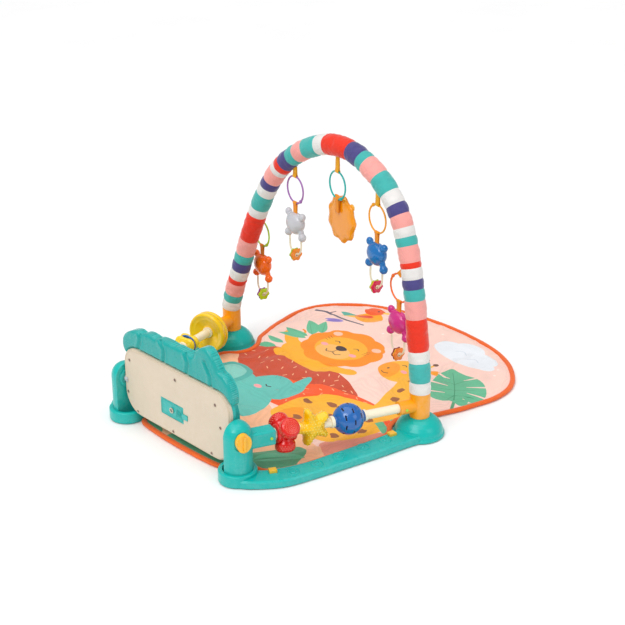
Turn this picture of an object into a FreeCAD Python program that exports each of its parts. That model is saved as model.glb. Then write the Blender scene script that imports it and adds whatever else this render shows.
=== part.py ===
import FreeCAD, Part
import math
import os
import Sketcher

# Baby play gym: a mat between two curved base rails, a leaning hoop with five hanging toys,
# two side bars with spinning toys, and a five-key piano held between two posts.
# Frame: X across the gym (right is +X), Y along the mat, Z up from the floor. The piano
# stands at the -Y end and its keys face +Y; the hoop rises near Y = 0.

Vec = FreeCAD.Vector
Rot = FreeCAD.Rotation
Place = FreeCAD.Placement
X_AXIS, Y_AXIS, Z_AXIS = Vec(1, 0, 0), Vec(0, 1, 0), Vec(0, 0, 1)
SIDES = ((1, "right"), (-1, "left"))


class dims:
    """Driving dimensions (mm), copied to the sheet "dims" under the same names."""
    # posts and hoop feet; x values are half spacings
    post_x = 139.4
    post_y = -309.0
    foot_x = 232.5
    foot_y = -1.3
    post_rad = 23.5
    post_top = 101.0
    post_flat = 134.4         # x of the flat that faces the piano
    pivot_z = 74.8            # height of the piano axles
    # base rails
    ring_rad = 30.5           # raised rim around a post
    ring_bore = 23.9
    ring_top = 20.0
    rail_bottom = 1.5
    rail_top = 14.0
    pad_rad = 7.0
    dome_base = 40.0          # radius at the foot of the dome
    dome_top = 32.4           # height
    dome_neck = 17.5          # radius at the top of the dome
    spigot_rad = 12.5
    spigot_top = 49.0
    # side bars, sockets and hoop collars
    collar_rad = 16.5
    collar_bore = 13.9
    collar_bottom = 32.5
    collar_top = 80.1
    bar_rad = 7.5
    bar_bore = 5.9
    bar_start_z = 65.7        # bar axis height at the post
    bar_end_z = 52.0          # bar axis height at the hoop foot
    bar_fit = 0.05            # radial clearance round a bar end
    socket_side = 25.0
    socket_start = 14.0
    socket_end = 59.0
    stub_rad = 11.5
    stub_start = 281.0
    pin_rad = 2.3
    pin_fit = 0.06
    # lock knob, measured out from the post axis
    knob_rad = 15.0           # half length of the oval
    knob_half = 12.0          # half width of the oval
    knob_in = 19.8
    knob_out = 28.5
    knob_stem = 5.0
    # hoop
    tube_rad = 9.0
    tube_bore = 7.4
    sleeve_rad = 17.7
    sleeve_bore = 9.4
    hoop_top = 432.0
    lean_x = 0.066            # sideways lean per unit of height
    lean_y = 0.0629           # lean along the mat per unit of height
    mat_top = 5.0
    # toys on the bars; "mid" is the place along the bar
    spin_bore = 7.57
    roller_mid = 79.5
    roller_len = 32.0
    roller_hub = 14.0
    roller_lobe = 15.8
    roller_out = 31.0
    star_mid = 126.6
    star_out = 30.0
    star_in = 17.0
    star_thick = 22.0
    ball_mid = 190.5
    ball_rad = 25.2
    spacer_rad = 9.6
    drum_mid = 245.0
    drum_rad = 36.5
    drum_len = 20.0
    bead_mid = 176.0
    bead_rad = 12.5
    bead_len = 9.2
    disc_mid = 176.0
    disc_rad = 18.0
    disc_len = 4.0
    # hanging toys
    link_rad = 23.5
    link_wire = 1.5
    loop_in = 2.4
    loop_out = 3.5
    ribbon_width = 10.0
    body_rad = 20.6
    body_half = 13.5          # half thickness of the toy body
    ear_rad = 7.0
    paw_rad = 6.6
    bow_rad = 17.0            # U-shaped hoop under a bear
    bow_wire = 1.6
    bow_bead_rad = 11.0
    bow_bead_bore = 2.4
    bow_bead_len = 8.0
    lion_rad = 36.5
    lion_thick = 9.0
    # piano; y offsets are from the post line
    shell_half = 132.0
    shell_bottom = 19.5
    shell_top = 137.0
    cover_back = -6.5
    cover_split = 0.0
    shell_front = 24.0
    house_half = 120.5        # key housing, narrower than the shell
    flange = 6.0
    wall = 2.2
    crest_y = 13.0
    axle_rad = 8.0
    axle_bore = 8.06
    axle_end = 147.3
    key_width = 45.0
    key_height = 62.0
    key_depth = 12.0
    key_pitch = 46.8
    key_gap = 0.8
    door_width = 56.0
    door_height = 28.5
    door_thick = 1.8
    cell_rad = 7.2
    cell_len = 49.0
    speaker_rad = 14.0
    speaker_len = 12.0
    screw_rad = 2.4
    board_x = 46.0
    board_z = 26.0
    board_thick = 1.6


doc = FreeCAD.newDocument("play_gym")
sheet = doc.addObject("Spreadsheet::Sheet", "dims")
aliases = [item for item in vars(dims).items() if not item[0].startswith("_")]
for row, (alias, value) in enumerate(aliases, 1):
    sheet.set("A%d" % row, "'" + alias)
    sheet.set("B%d" % row, repr(value))
    sheet.setAlias("B%d" % row, alias)
doc.recompute()


# ---- document objects ------------------------------------------------------------
PIECES = []


def piece(obj, label):
    """Mark an object as a finished piece, exported under its label."""
    obj.Label = label
    PIECES.append(obj)


def add(kind, place=None, **props):
    """Add an object; text values are expressions on the sheet."""
    obj = doc.addObject(kind, kind.split("::")[1].lower() + "_1")
    bind(obj, **props)
    if place:
        obj.Placement = place
    return obj


def bind(obj, **props):
    for prop, value in props.items():
        if isinstance(value, str):
            obj.setExpression(prop, value)
        else:
            setattr(obj, prop, value)


def cyl(radius, height, place):
    return add("Part::Cylinder", place, Radius=radius, Height=height)


def rod(radius, length, start, direction):
    """Cylinder from a start point along a direction."""
    return cyl(radius, length, Place(start, turn_to(direction)))


def cross_rod(radius, length, place):
    """Cylinder centred on a placement, with its axis along the local X."""
    return cyl(radius, length, place * Place(Vec(-length / 2.0, 0, 0), Rot(Y_AXIS, 90)))


def upright_disc(radius, thick, place, x, y, z):
    """Disc that starts at a local point and reaches toward the local -Y."""
    return cyl(radius, thick, place * Place(Vec(x, y, z), Rot(X_AXIS, 90)))


def box(length, width, height, place):
    return add("Part::Box", place, Length=length, Width=width, Height=height)


def torus(wire_radius, place):
    return add("Part::Torus", place, Radius1="dims.link_rad", Radius2=wire_radius)


def fuse(*parts):
    return add("Part::MultiFuse", Shapes=list(parts))


def cut(base, tool):
    return add("Part::Cut", Base=base, Tool=tool)


def group(*parts):
    return add("Part::Compound", Links=list(parts))


def solid(shape):
    return add("Part::Feature", Shape=shape)


# ---- PartDesign bodies -----------------------------------------------------------
def new_sketch(body, plane="XY_Plane"):
    sketch = body.newObject("Sketcher::SketchObject", "sketch")
    support = [f for f in body.Origin.OriginFeatures if f.Role == plane][0]
    sketch.AttachmentSupport = [(support, "")]
    sketch.MapMode = "FlatFace"
    return sketch


def draw_polygon(sketch, points):
    """Closed polygon in an empty sketch."""
    count = len(points)
    for i in range(count):
        start, end = points[i], points[(i + 1) % count]
        sketch.addGeometry(Part.LineSegment(Vec(*start, 0), Vec(*end, 0)), False)
    for i in range(count):
        sketch.addConstraint(Sketcher.Constraint("Coincident", i, 2, (i + 1) % count, 1))


def draw_rectangle(sketch, width, height):
    """Centred rectangle; both sizes are expressions."""
    half_w, half_h = 10.0, 8.0     # drawn size, before the expressions act
    draw_polygon(sketch, [(-half_w, -half_h), (half_w, -half_h),
                          (half_w, half_h), (-half_w, half_h)])
    for i, kind in enumerate(("Horizontal", "Vertical", "Horizontal", "Vertical")):
        sketch.addConstraint(Sketcher.Constraint(kind, i))
    sketch.addConstraint(Sketcher.Constraint("Symmetric", 0, 1, 1, 2, -1, 1))
    across = sketch.addConstraint(Sketcher.Constraint("DistanceX", 0, 1, 0, 2, 2 * half_w))
    up = sketch.addConstraint(Sketcher.Constraint("DistanceY", 1, 1, 1, 2, 2 * half_h))
    sketch.setExpression("Constraints[%d]" % across, width)
    sketch.setExpression("Constraints[%d]" % up, height)


def draw_circle(sketch, radius):
    """Circle on the origin; the radius is an expression."""
    start_radius = 5.0
    ring = sketch.addGeometry(Part.Circle(Vec(0, 0, 0), Z_AXIS, start_radius), False)
    sketch.addConstraint(Sketcher.Constraint("Coincident", ring, 3, -1, 1))
    size = sketch.addConstraint(Sketcher.Constraint("Radius", ring, start_radius))
    sketch.setExpression("Constraints[%d]" % size, radius)


def new_body():
    return doc.addObject("PartDesign::Body", "body")


def pad(body, sketch, length, midplane=False):
    feature = body.newObject("PartDesign::Pad", "pad")
    feature.Profile = sketch
    bind(feature, Length=length)
    if midplane:
        feature.Midplane = True


def padded_polygon(points, length, midplane=False):
    body = new_body()
    sketch = new_sketch(body)
    draw_polygon(sketch, points)
    pad(body, sketch, length, midplane)
    return body


def padded_rectangle(width, height, length):
    body = new_body()
    sketch = new_sketch(body)
    draw_rectangle(sketch, width, height)
    pad(body, sketch, length)
    return body


def revolved(points):
    """Body turned about Z from (radius, z) points."""
    body = new_body()
    sketch = new_sketch(body, "XZ_Plane")
    draw_polygon(sketch, points)
    feature = body.newObject("PartDesign::Revolution", "revolution")
    feature.Profile = sketch
    feature.ReferenceAxis = (sketch, ["V_Axis"])
    feature.Angle = 360.0
    return body


# ---- geometry --------------------------------------------------------------------
def shift(x, y, z):
    return Place(Vec(x, y, z), Rot())


def turn_to(direction):
    """Rotation that turns +Z onto a direction."""
    return Rot(Z_AXIS, direction)


def axes_rotation(x_dir, y_dir, z_dir):
    """Rotation whose local axes are the three directions."""
    matrix = FreeCAD.Matrix(x_dir.x, y_dir.x, z_dir.x, 0,
                            x_dir.y, y_dir.y, z_dir.y, 0,
                            x_dir.z, y_dir.z, z_dir.z, 0, 0, 0, 0, 1)
    return Place(matrix).Rotation


def unit(vector):
    return Vec(vector).normalize()


def smooth(points, steps=3):
    """Open Catmull-Rom curve through the points, with some steps per span."""
    curve = []
    last = len(points) - 1
    for i in range(last):
        nearby = (points[max(i - 1, 0)], points[i], points[i + 1], points[min(i + 2, last)])
        for j in range(steps):
            u = j / float(steps)
            curve.append(tuple(
                0.5 * (2 * b + (c - a) * u + (2 * a - 5 * b + 4 * c - d) * u * u
                       + (3 * b - a - 3 * c + d) * u ** 3)
                for a, b, c, d in zip(*nearby)))
    curve.append(points[-1])
    return curve


def plan_wire(points, z):
    return Part.makePolygon([Vec(x, y, z) for x, y in points + points[:1]])


def prism(points, z0, z1):
    """Plan outline of (x, y) points, extruded between two heights."""
    return Part.Face(plan_wire(points, z0)).extrude(Vec(0, 0, z1 - z0))


def slab(points, y0, y1):
    """Upright outline of (x, z) points, extruded between two y values."""
    wire = Part.makePolygon([Vec(x, y0, z) for x, z in points + points[:1]])
    return Part.Face(wire).extrude(Vec(0, y1 - y0, 0))


def shape_box(length, width, height, x, y, z):
    return Part.makeBox(length, width, height, Vec(x, y, z))


def y_cylinder(radius, length, x, y, z):
    return Part.makeCylinder(radius, length, Vec(x, y, z), Y_AXIS)


# ---- side bar directions ---------------------------------------------------------
# Level run of the right bar, from the post to the hoop foot. Places "along" a bar
# are level distances from the post axis.
RUN = Vec(dims.foot_x - dims.post_x, dims.foot_y - dims.post_y, 0)
SLOPE = (dims.bar_end_z - dims.bar_start_z) / RUN.Length


def bar_dir(side):
    return unit(Vec(side * RUN.x, RUN.y, SLOPE * RUN.Length))


def bar_at(side, along):
    part = along / RUN.Length
    return Vec(side * (dims.post_x + RUN.x * part), dims.post_y + RUN.y * part,
               dims.bar_start_z + SLOPE * along)


def on_bar(side, along):
    """Placement on a bar with +Z along it."""
    return Place(bar_at(side, along), turn_to(bar_dir(side)))


def out_dir(side):
    """Level outward normal of a side bar."""
    return unit(Vec(side * RUN.y, -RUN.x, 0))


# ---- base rails ------------------------------------------------------------------
# (x, y) plan points of the right rail: outer edge toward +Y, then inner edge back
RAIL_OUTER = [
    (164.1, -326.8), (174.0, -319.5), (186.0, -306.5), (197.4, -292.1),
    (206.7, -277.8), (214.3, -258.6), (221.0, -231.6), (227.1, -203.6),
    (232.9, -174.9), (238.8, -145.8), (244.9, -116.2), (250.3, -85.6),
    (255.4, -54.1), (260.5, -29.6), (262.5, -12.0)]
RAIL_INNER = [
    (205.0, -22.0), (217.5, -41.6), (215.6, -60.6), (212.5, -85.0),
    (208.2, -116.1), (203.0, -146.0), (197.6, -175.1), (192.6, -205.2),
    (185.2, -231.9), (175.4, -256.0), (163.0, -278.0), (151.0, -287.0)]
RAIL_POST_END = [(139.4, -300.0), (145.0, -328.0)]
# mat tab slots of the right rail: x, y, turn about Z in degrees
TABS = [(177.3, -271.5, 62.0), (224.3, -57.0, 78.0)]
RECESS_FLOOR = 8.0
EDGE_HEIGHT = 3.0     # softened upper edge of the rail
EDGE_INSET = 2.2


def rail_plate():
    outline = smooth(RAIL_OUTER) + smooth(RAIL_INNER) + RAIL_POST_END
    shoulder = dims.rail_top - EDGE_HEIGHT
    plate = prism(outline, dims.rail_bottom, shoulder)
    inset = []
    for i, (x, y) in enumerate(outline):
        before, after = outline[i - 1], outline[(i + 1) % len(outline)]
        step_x, step_y = after[0] - before[0], after[1] - before[1]
        length = math.hypot(step_x, step_y) or 1.0
        inset.append((x - step_y / length * EDGE_INSET, y + step_x / length * EDGE_INSET))
    # guards the loft to the inset outline: a straight layer takes its place if it fails
    try:
        cap = Part.makeLoft([plan_wire(outline, shoulder), plan_wire(inset, dims.rail_top)],
                            True, True)
        if not cap.isValid() or cap.Volume < 1000:
            raise ValueError("cap")
        return plate.fuse(cap)
    except Exception:
        return plate.fuse(prism(outline, shoulder, dims.rail_top))


def post_rim():
    """Raised rim that holds the post, rounded at its top edge."""
    top = dims.ring_top
    rim = Part.makeCylinder(dims.ring_rad, top - dims.rail_bottom,
                            Vec(dims.post_x, dims.post_y, dims.rail_bottom))
    edges = [e for e in rim.Edges
             if abs(e.BoundBox.ZMin - top) < 1e-6 and abs(e.BoundBox.ZMax - top) < 1e-6]
    return rim.makeFillet(2.5, edges)


def foot_dome():
    """Domed hoop foot with a small flange and the spigot for the collar."""
    x, y, bottom = dims.foot_x, dims.foot_y, dims.rail_bottom
    flange_rad = dims.dome_base + 1.5
    chamfer = 2
    profile = [   # radius, z
        (0, bottom), (flange_rad, bottom), (flange_rad, 4.5),
        (dims.dome_base, 6.0), (38.6, 12.0), (36.0, 17.5), (32.2, 22.8),
        (27.2, 27.5), (21.8, 30.9), (dims.dome_neck, dims.dome_top),
        (dims.spigot_rad, dims.dome_top), (dims.spigot_rad, dims.spigot_top - chamfer),
        (dims.spigot_rad - chamfer, dims.spigot_top), (0, dims.spigot_top)]
    wire = Part.makePolygon([Vec(x + r, y, z) for r, z in profile + profile[:1]])
    return Part.Face(wire).revolve(Vec(x, y, 0), Z_AXIS, 360)


def base_rail(side):
    """Right rail, mirrored for the left."""
    rail = rail_plate().fuse([post_rim(), foot_dome()])
    rail = rail.cut(Part.makeCylinder(dims.ring_bore, 60,
                                      Vec(dims.post_x, dims.post_y, RECESS_FLOOR)))
    # hollow for the hoop tube in the spigot
    rail = rail.cut(Part.makeCylinder(dims.tube_rad, 60, Vec(dims.foot_x, dims.foot_y, 40.0)))
    for x, y, turn in TABS:
        slot = shape_box(14.0, 3.0, 30.0, -7.0, -1.5, 0)
        slot.Placement = Place(Vec(x, y, -5), Rot(Z_AXIS, turn))
        rail = rail.cut(slot)
    rail = rail.removeSplitter()
    return rail if side > 0 else rail.mirror(Vec(0, 0, 0), X_AXIS)


for side, tag in SIDES:
    piece(solid(base_rail(side)), "base_rail_" + tag)

# (x, y) of the pads under the right rail
PADS = [(dims.post_x, dims.post_y), (196.0, -270.0), (211.0, -205.0), (222.0, -145.0),
        (234.0, -80.0), (dims.foot_x, dims.foot_y), (232.5, 25.0)]
piece(group(*[cyl("dims.pad_rad", "dims.rail_bottom", shift(side * x, y, 0))
              for side, _ in SIDES for x, y in PADS]), "rail_foot_pads")

# ---- posts, side bars and collars ------------------------------------------------
SOCKET_PIN = 52.0     # places along the bar
COLLAR_PIN = 291.0
PIN_HOLE_START = 7.6  # out from the bar axis


def domed_post(side):
    radius, bottom = dims.post_rad, RECESS_FLOOR + 0.05
    dome_z = dims.post_top - radius
    profile = [(0, bottom), (radius, bottom), (radius, dome_z)]
    for i in range(1, 9):
        angle = math.radians(90.0 * i / 8)
        profile.append((radius * math.cos(angle) if i < 8 else 0.0,
                        dome_z + radius * math.sin(angle)))
    body = revolved(profile)
    body.Placement = shift(side * dims.post_x, dims.post_y, 0)
    return body


def bar_socket(side):
    """Square socket along the bar, its side faces upright and long edges rounded."""
    direction = bar_dir(side)
    yaw = math.degrees(math.atan2(direction.x, direction.y))
    pitch = math.degrees(math.asin(-direction.z))
    turn = Rot(Z_AXIS, -yaw) * Rot(X_AXIS, -90 - pitch)
    socket = box("dims.socket_side", "dims.socket_side", "dims.socket_end - dims.socket_start",
                 Place(bar_at(side, dims.socket_start), turn)
                 * shift(-dims.socket_side / 2, -dims.socket_side / 2, 0))
    rounding = add("Part::Fillet", Base=socket)
    doc.recompute()
    long_edges = []
    for i, edge in enumerate(socket.Shape.Edges):
        along = edge.Vertexes[1].Point - edge.Vertexes[0].Point
        if abs(along.normalize().dot(direction)) > 0.99:
            long_edges.append((i + 1, 3.0, 3.0))
    rounding.Edges = long_edges
    return rounding


def pin_hole(side, along):
    normal = out_dir(side)
    return rod("dims.pin_rad + dims.pin_fit", 20.0,
               bar_at(side, along) + normal * PIN_HOLE_START, normal)


def pin(side, along, start, length):
    """Spring pin, from a distance out of the bar axis."""
    normal = out_dir(side)
    return rod("dims.pin_rad", length, bar_at(side, along) + normal * start, normal)


def post_pivot(side):
    return Vec(side * dims.post_x, dims.post_y, dims.pivot_z)


def post(side):
    body = domed_post(side)
    socket = bar_socket(side)
    normal = out_dir(side)
    flat_x = dims.post_flat - 60.0 if side > 0 else -dims.post_flat
    tools = [box(60.0, 160.0, 160.0, shift(flat_x, dims.post_y - 60, -20))]
    if side > 0:   # only the right post carries a lock knob
        pivot = post_pivot(side)
        tools += [rod("dims.knob_rad + 0.4", 30.0, pivot + normal * (dims.knob_in - 0.4), normal),
                  rod("dims.knob_stem + 0.05", 30.0, pivot + normal * 13.0, normal)]
    tools += [rod("dims.axle_bore", "dims.axle_end + 0.5 - dims.post_flat + 1",
                  Vec(side * (dims.post_flat - 1), dims.post_y, dims.pivot_z),
                  Vec(side, 0, 0)),
              cyl("dims.bar_rad + dims.bar_fit", 60.0, on_bar(side, 40.0)),
              pin_hole(side, SOCKET_PIN)]
    return cut(fuse(body, socket), fuse(*tools))


def side_bar(side):
    return cut(cyl("dims.bar_rad", 257.0, on_bar(side, 41.0)),
               cyl("dims.bar_bore", 260.0, on_bar(side, 40.0)))


def arch_collar(side):
    """Tube round the hoop foot with a stub for the bar end."""
    x, y, bottom = side * dims.foot_x, dims.foot_y, dims.collar_bottom
    tube = cyl("dims.collar_rad", "dims.collar_top - dims.collar_bottom", shift(x, y, bottom))
    stub = cyl("dims.stub_rad", 30.0, on_bar(side, dims.stub_start))
    hollow = cyl("dims.collar_bore", 70.0, shift(x, y, bottom - 5))
    recess = cyl("dims.bar_rad + dims.bar_fit", 20.0, on_bar(side, dims.stub_start - 1.5))
    return cut(fuse(tube, stub), fuse(hollow, recess, pin_hole(side, COLLAR_PIN)))


def lock_knob():
    """Oval turn button with a finger rib and a stem."""
    normal, pivot, count = out_dir(1), post_pivot(1), 28
    angles = [2 * math.pi * i / count for i in range(count)]
    knob = padded_polygon([(dims.knob_half * math.cos(a), dims.knob_rad * math.sin(a))
                           for a in angles], "dims.knob_out - dims.knob_in")
    yaw = math.degrees(math.atan2(normal.y, normal.x)) + 90
    knob.Placement = Place(pivot + normal * dims.knob_in, Rot(Z_AXIS, yaw) * Rot(X_AXIS, 90))
    stem = rod("dims.knob_stem", 6.8, pivot + normal * 13.2, normal)
    rib = box(4.0, 22.0, 3.0,
              knob.Placement * shift(-2.0, -11.0, dims.knob_out - dims.knob_in - 0.5))
    return fuse(knob, stem, rib)


for side, tag in SIDES:
    piece(post(side), "post_" + tag)
    piece(pin(side, SOCKET_PIN, 9.0, 4.4), "socket_pin_" + tag)
    piece(side_bar(side), "side_bar_" + tag)
    piece(arch_collar(side), "arch_collar_" + tag)
    piece(pin(side, COLLAR_PIN, 8.7, 3.7), "collar_pin_" + tag)
piece(lock_knob(), "lock_knob_right")

# ---- hoop ------------------------------------------------------------------------
# (x, z) of one half of the hoop, before it leans, from the foot up
HOOP_HALF = [(235.0, 51.0), (231.2, 85.0), (212.0, 166.0), (189.0, 250.0), (165.0, 313.0),
             (145.0, 350.0), (122.0, 377.0), (98.0, 397.0), (60.0, 418.5), (30.0, 429.0)]
LEAN_Z = 80.0         # height at which the lean is zero
TILT = math.sqrt(1.0 + dims.lean_y ** 2)


def flat_point(x, z):
    """Point of the hoop in its own tilted plane."""
    return Vec(x + dims.lean_x * (z - LEAN_Z), (z - LEAN_Z) * TILT, 0)


def lift(point):
    """Space point of a point in the tilted plane."""
    rise = point.y / TILT
    return Vec(point.x, dims.foot_y + dims.lean_y * rise, LEAN_Z + rise)


def tangents(points):
    """Unit tangents; each inner one weights its two chords by the other's length."""
    chords = [after - before for before, after in zip(points, points[1:])]
    inner = [unit(unit(first) * second.Length + unit(second) * first.Length)
             for first, second in zip(chords, chords[1:])]
    return [unit(chords[0])] + inner + [unit(chords[-1])]


def arc(start, tangent, end):
    """Circular arc that leaves the start along the tangent."""
    chord = end - start
    along = unit(chord)
    cosine = tangent.dot(along)
    across = tangent - along * cosine
    sine = across.Length
    if sine < 1e-6:
        return Part.LineSegment(lift(start), lift(end)).toShape()
    bulge = chord.Length / 2 * math.tan(math.atan2(sine, cosine) / 2)
    middle = start + chord * 0.5 + across * (bulge / sine)
    return Part.Arc(lift(start), lift(middle), lift(end)).toShape()


def biarcs(points):
    """Tangent-continuous chain through the points, two arcs per span."""
    tans = tangents(points)
    spans = []
    for start, end, leave, arrive in zip(points, points[1:], tans, tans[1:]):
        chord = end - start
        square = chord.dot(chord)
        bend = 1 - leave.dot(arrive)
        reach = chord.dot(leave + arrive)
        if bend < 1e-9:
            handle = square / (4 * chord.dot(arrive))
        else:
            handle = (-reach + math.sqrt(reach * reach + 2 * bend * square)) / (2 * bend)
        joint = (start + end + (leave - arrive) * handle) * 0.5
        # the second arc is drawn backwards from its known end tangent
        second = arc(end, arrive * -1.0, joint)
        second.reverse()
        spans.append([arc(start, leave, joint), second])
    return spans


def path_wire(spans):
    return Part.Wire(Part.__sortEdges__([edge for span in spans for edge in span]))


def hollow_pipe(path, outer, bore):
    """Ring-shaped section swept along the path."""
    edge = path.OrderedEdges[0]
    forward = edge.Orientation == "Forward"
    at_start = edge.FirstParameter if forward else edge.LastParameter
    point, tangent = edge.valueAt(at_start), edge.tangentAt(at_start)
    rings = [Part.Wire([Part.Circle(point, tangent, radius).toShape()])
             for radius in (outer, bore)]
    return path.makePipe(Part.Face(rings, "Part::FaceMakerBullseye"))


hoop_spans = biarcs([flat_point(-x, z) for x, z in HOOP_HALF] + [flat_point(0, dims.hoop_top)]
                    + [flat_point(x, z) for x, z in reversed(HOOP_HALF)])
tube_path = path_wire(hoop_spans)
sleeve_path = path_wire(hoop_spans[1:-1])
piece(solid(hollow_pipe(tube_path, dims.tube_rad, dims.tube_bore)), "arch_tube")
piece(solid(hollow_pipe(sleeve_path, dims.sleeve_rad, dims.sleeve_bore)), "arch_sleeve")
HOOP_SAMPLES = tube_path.discretize(Number=900)

# ---- play mat --------------------------------------------------------------------
# (x, y) of the right half of the mat edge, from the piano end to the far end
MAT = [
    (0, -318.6), (45, -317.6), (76, -315.4), (96, -312.4), (105.0, -307.0), (109.5, -299.0),
    (114.0, -289.0), (122.5, -281.5), (134.0, -277.5), (150.0, -275.5), (161.5, -268.0),
    (173.0, -253.0), (182.8, -231.0), (190.2, -204.5), (195.4, -175.0), (200.9, -146.0),
    (206.1, -116.0), (210.4, -85.0), (212.6, -62.0), (211.0, -46.0), (204.5, -35.0),
    (194.5, -22.5), (188.6, -1.3), (194.5, 20.2), (204.0, 33.0), (216.0, 48.0), (226.0, 74.0),
    (236.0, 103.0), (243.5, 135.0), (249.5, 163.0), (250.8, 184.0), (248.5, 208.0),
    (240.5, 233.0), (221.5, 262.0), (187.5, 294.0), (149.0, 316.0), (105.5, 330.0),
    (53.0, 338.5), (0, 341.7)]


def play_mat():
    right = smooth(MAT)
    left = [(-x, y) for x, y in reversed(right[1:-1])]
    return solid(prism(right + left, 0.0, dims.mat_top))


def tab_clip(side, x, y, turn):
    """Mat tab: a neck in the rail slot and a head on top of the rail."""
    place = Place(Vec(side * x, y, 0), Rot(Z_AXIS, side * turn))
    head = box(12.0, 11.0, 4.2, place * shift(-6.0, -5.5, dims.rail_top + 0.05))
    neck = box(11.0, 2.0, 9.0, place * shift(-5.5, -1.0, dims.rail_top - 8.9))
    return fuse(head, neck)


piece(play_mat(), "play_mat")
piece(group(*[tab_clip(side, *tab) for side, _ in SIDES for tab in TABS]), "mat_tab_clips")


# ---- toys on the side bars -------------------------------------------------------
def spin_bore(side, start, length=90.0):
    return cyl("dims.spin_bore", length, on_bar(side, start))


def red_roller():
    """Hub with three round lobes standing across the bar."""
    parts = [cyl("dims.roller_hub", "dims.roller_len",
                 on_bar(1, dims.roller_mid - dims.roller_len / 2))]
    for angle in (62.0, 182.0, 302.0):
        turn = Rot(Z_AXIS, angle) * Rot(Y_AXIS, 90)
        parts.append(cyl("dims.roller_lobe", "dims.roller_out",
                         on_bar(1, dims.roller_mid) * Place(Vec(0, 0, 0), turn)))
    return cut(fuse(*parts), spin_bore(1, dims.roller_mid - 30, 60.0))


def star_spinner():
    """Thick star whose plane holds the bar."""
    points = []
    for i in range(10):
        angle = math.radians(90 + 36 * i)
        radius = dims.star_in if i % 2 else dims.star_out
        points.append((radius * math.cos(angle), radius * math.sin(angle)))
    star = padded_polygon(points, "dims.star_thick", midplane=True)
    along, normal = bar_dir(1), out_dir(1)
    turn = axes_rotation(along, normal.cross(along), normal) * Rot(Z_AXIS, 18.0)
    star.Placement = Place(bar_at(1, dims.star_mid), turn)
    return cut(star, spin_bore(1, dims.star_mid - 45))


def blue_ball():
    return cut(add("Part::Sphere", on_bar(1, dims.ball_mid), Radius="dims.ball_rad"),
               spin_bore(1, dims.ball_mid - 45))


def yellow_drum():
    radius, length, bore = dims.drum_rad, dims.drum_len, dims.spin_bore
    drum = revolved([   # radius, place along the bar
        (bore, 9.0), (12.0, 9.0), (radius - 4.5, 0.6), (radius - 3.0, 0),
        (radius - 1.0, 0.8), (radius, 3.0), (radius, length - 3.6),
        (radius - 2.2, length - 1.0), (radius - 5.5, length), (bore, length)])
    drum.Placement = on_bar(-1, dims.drum_mid - length / 2)
    return drum


def flower_bead():
    """Three round lobes on each side of the blue disc."""
    gap = 2.4   # from the middle of the disc
    halves = []
    for start in (dims.bead_mid - gap - dims.bead_len, dims.bead_mid + gap):
        base = on_bar(-1, start)
        places = [base] + [base * Place(Vec(0, 0, 0), Rot(Z_AXIS, -8 + 120 * k))
                           * shift(9.0, 0, 0) for k in range(3)]
        lobes = [cyl("dims.bead_rad", "dims.bead_len", place) for place in places]
        halves.append(cut(fuse(*lobes), spin_bore(-1, start - 25, 60.0)))
    return group(*halves)


def blue_disc():
    return cut(cyl("dims.disc_rad", "dims.disc_len",
                   on_bar(-1, dims.disc_mid - dims.disc_len / 2)),
               spin_bore(-1, dims.disc_mid - 30, 60.0))


# spacer rings: side, start along the bar, length
SPACERS = [(1, 59.4, 3.4), (1, 158.2, 5.6), (1, 217.0, 4.0),
           (-1, 59.4, 4.0), (-1, 159.6, 4.4), (-1, 188.0, 4.0),
           (-1, 239.8, 3.8), (-1, 255.6, 4.0)]


def spacer(side, start, length):
    return cut(cyl("dims.spacer_rad", length, on_bar(side, start)),
               cyl("dims.bar_rad + 0.03", length + 2, on_bar(side, start - 1)))


piece(red_roller(), "red_roller")
piece(star_spinner(), "star_spinner")
piece(blue_ball(), "blue_ball")
piece(yellow_drum(), "yellow_drum")
piece(flower_bead(), "flower_bead")
piece(blue_disc(), "blue_disc")
piece(group(*[spacer(*row) for row in SPACERS]), "bar_spacers")

# ---- hanging toys ----------------------------------------------------------------
# toy, ring, ring centre x, y, z, turn about Z in degrees
TOYS = [("orange_bear", "lime_ring", -188.0, 37.0, 221.0, -10.0),
        ("grey_bear", "purple_ring", -81.0, 19.0, 333.5, -9.0),
        ("lion_toy", "teal_ring", 18.0, 21.0, 365.0, -12.0),
        ("blue_bear", "yellow_ring", 111.0, 19.0, 332.0, -12.0),
        ("pink_bear", "orange_ring", 162.0, 20.0, 227.5, -10.0)]
STEEP_TOYS = ("orange_bear", "pink_bear")   # ribbons slant to the steep part of the hoop
BODY_DROP = 60.6      # drops are below the ring centre
LION_DROP = 60.0
LION_BACK = 4.6       # nearer face of the lion, toward +Y from the ring plane
BOW_TOP = -84.7
BOW_BEND = -100.0     # where the bow's legs meet its arc
BAND_START = 2.9      # ribbon band, from the loop centre
BAND_THICK = 2.0


def near_hoop(point):
    """Distance to the hoop's axis, and the nearest point on it."""
    best = min(HOOP_SAMPLES, key=lambda sample: (sample - point).Length)
    return (best - point).Length, best


def ribbon_loop(place):
    """Loop cylinder and the hole to cut from it."""
    width = dims.ribbon_width
    return (cross_rod("dims.loop_out", width, place),
            cross_rod("dims.loop_in", width + 2, place))


def band_length(base, direction, across, normal):
    """Length at which a band from the ring first meets the sleeve."""
    length = 3.0
    while length < 80:
        end = base + direction * length
        corners = [end + across * a + normal * b
                   for a in (-5.0, -2.5, 0.0, 2.5, 5.0) for b in (-1.0, 1.0)]
        if min(near_hoop(corner)[0] for corner in corners) <= dims.sleeve_rad + 0.3:
            break
        length += 0.25
    return length


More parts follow.
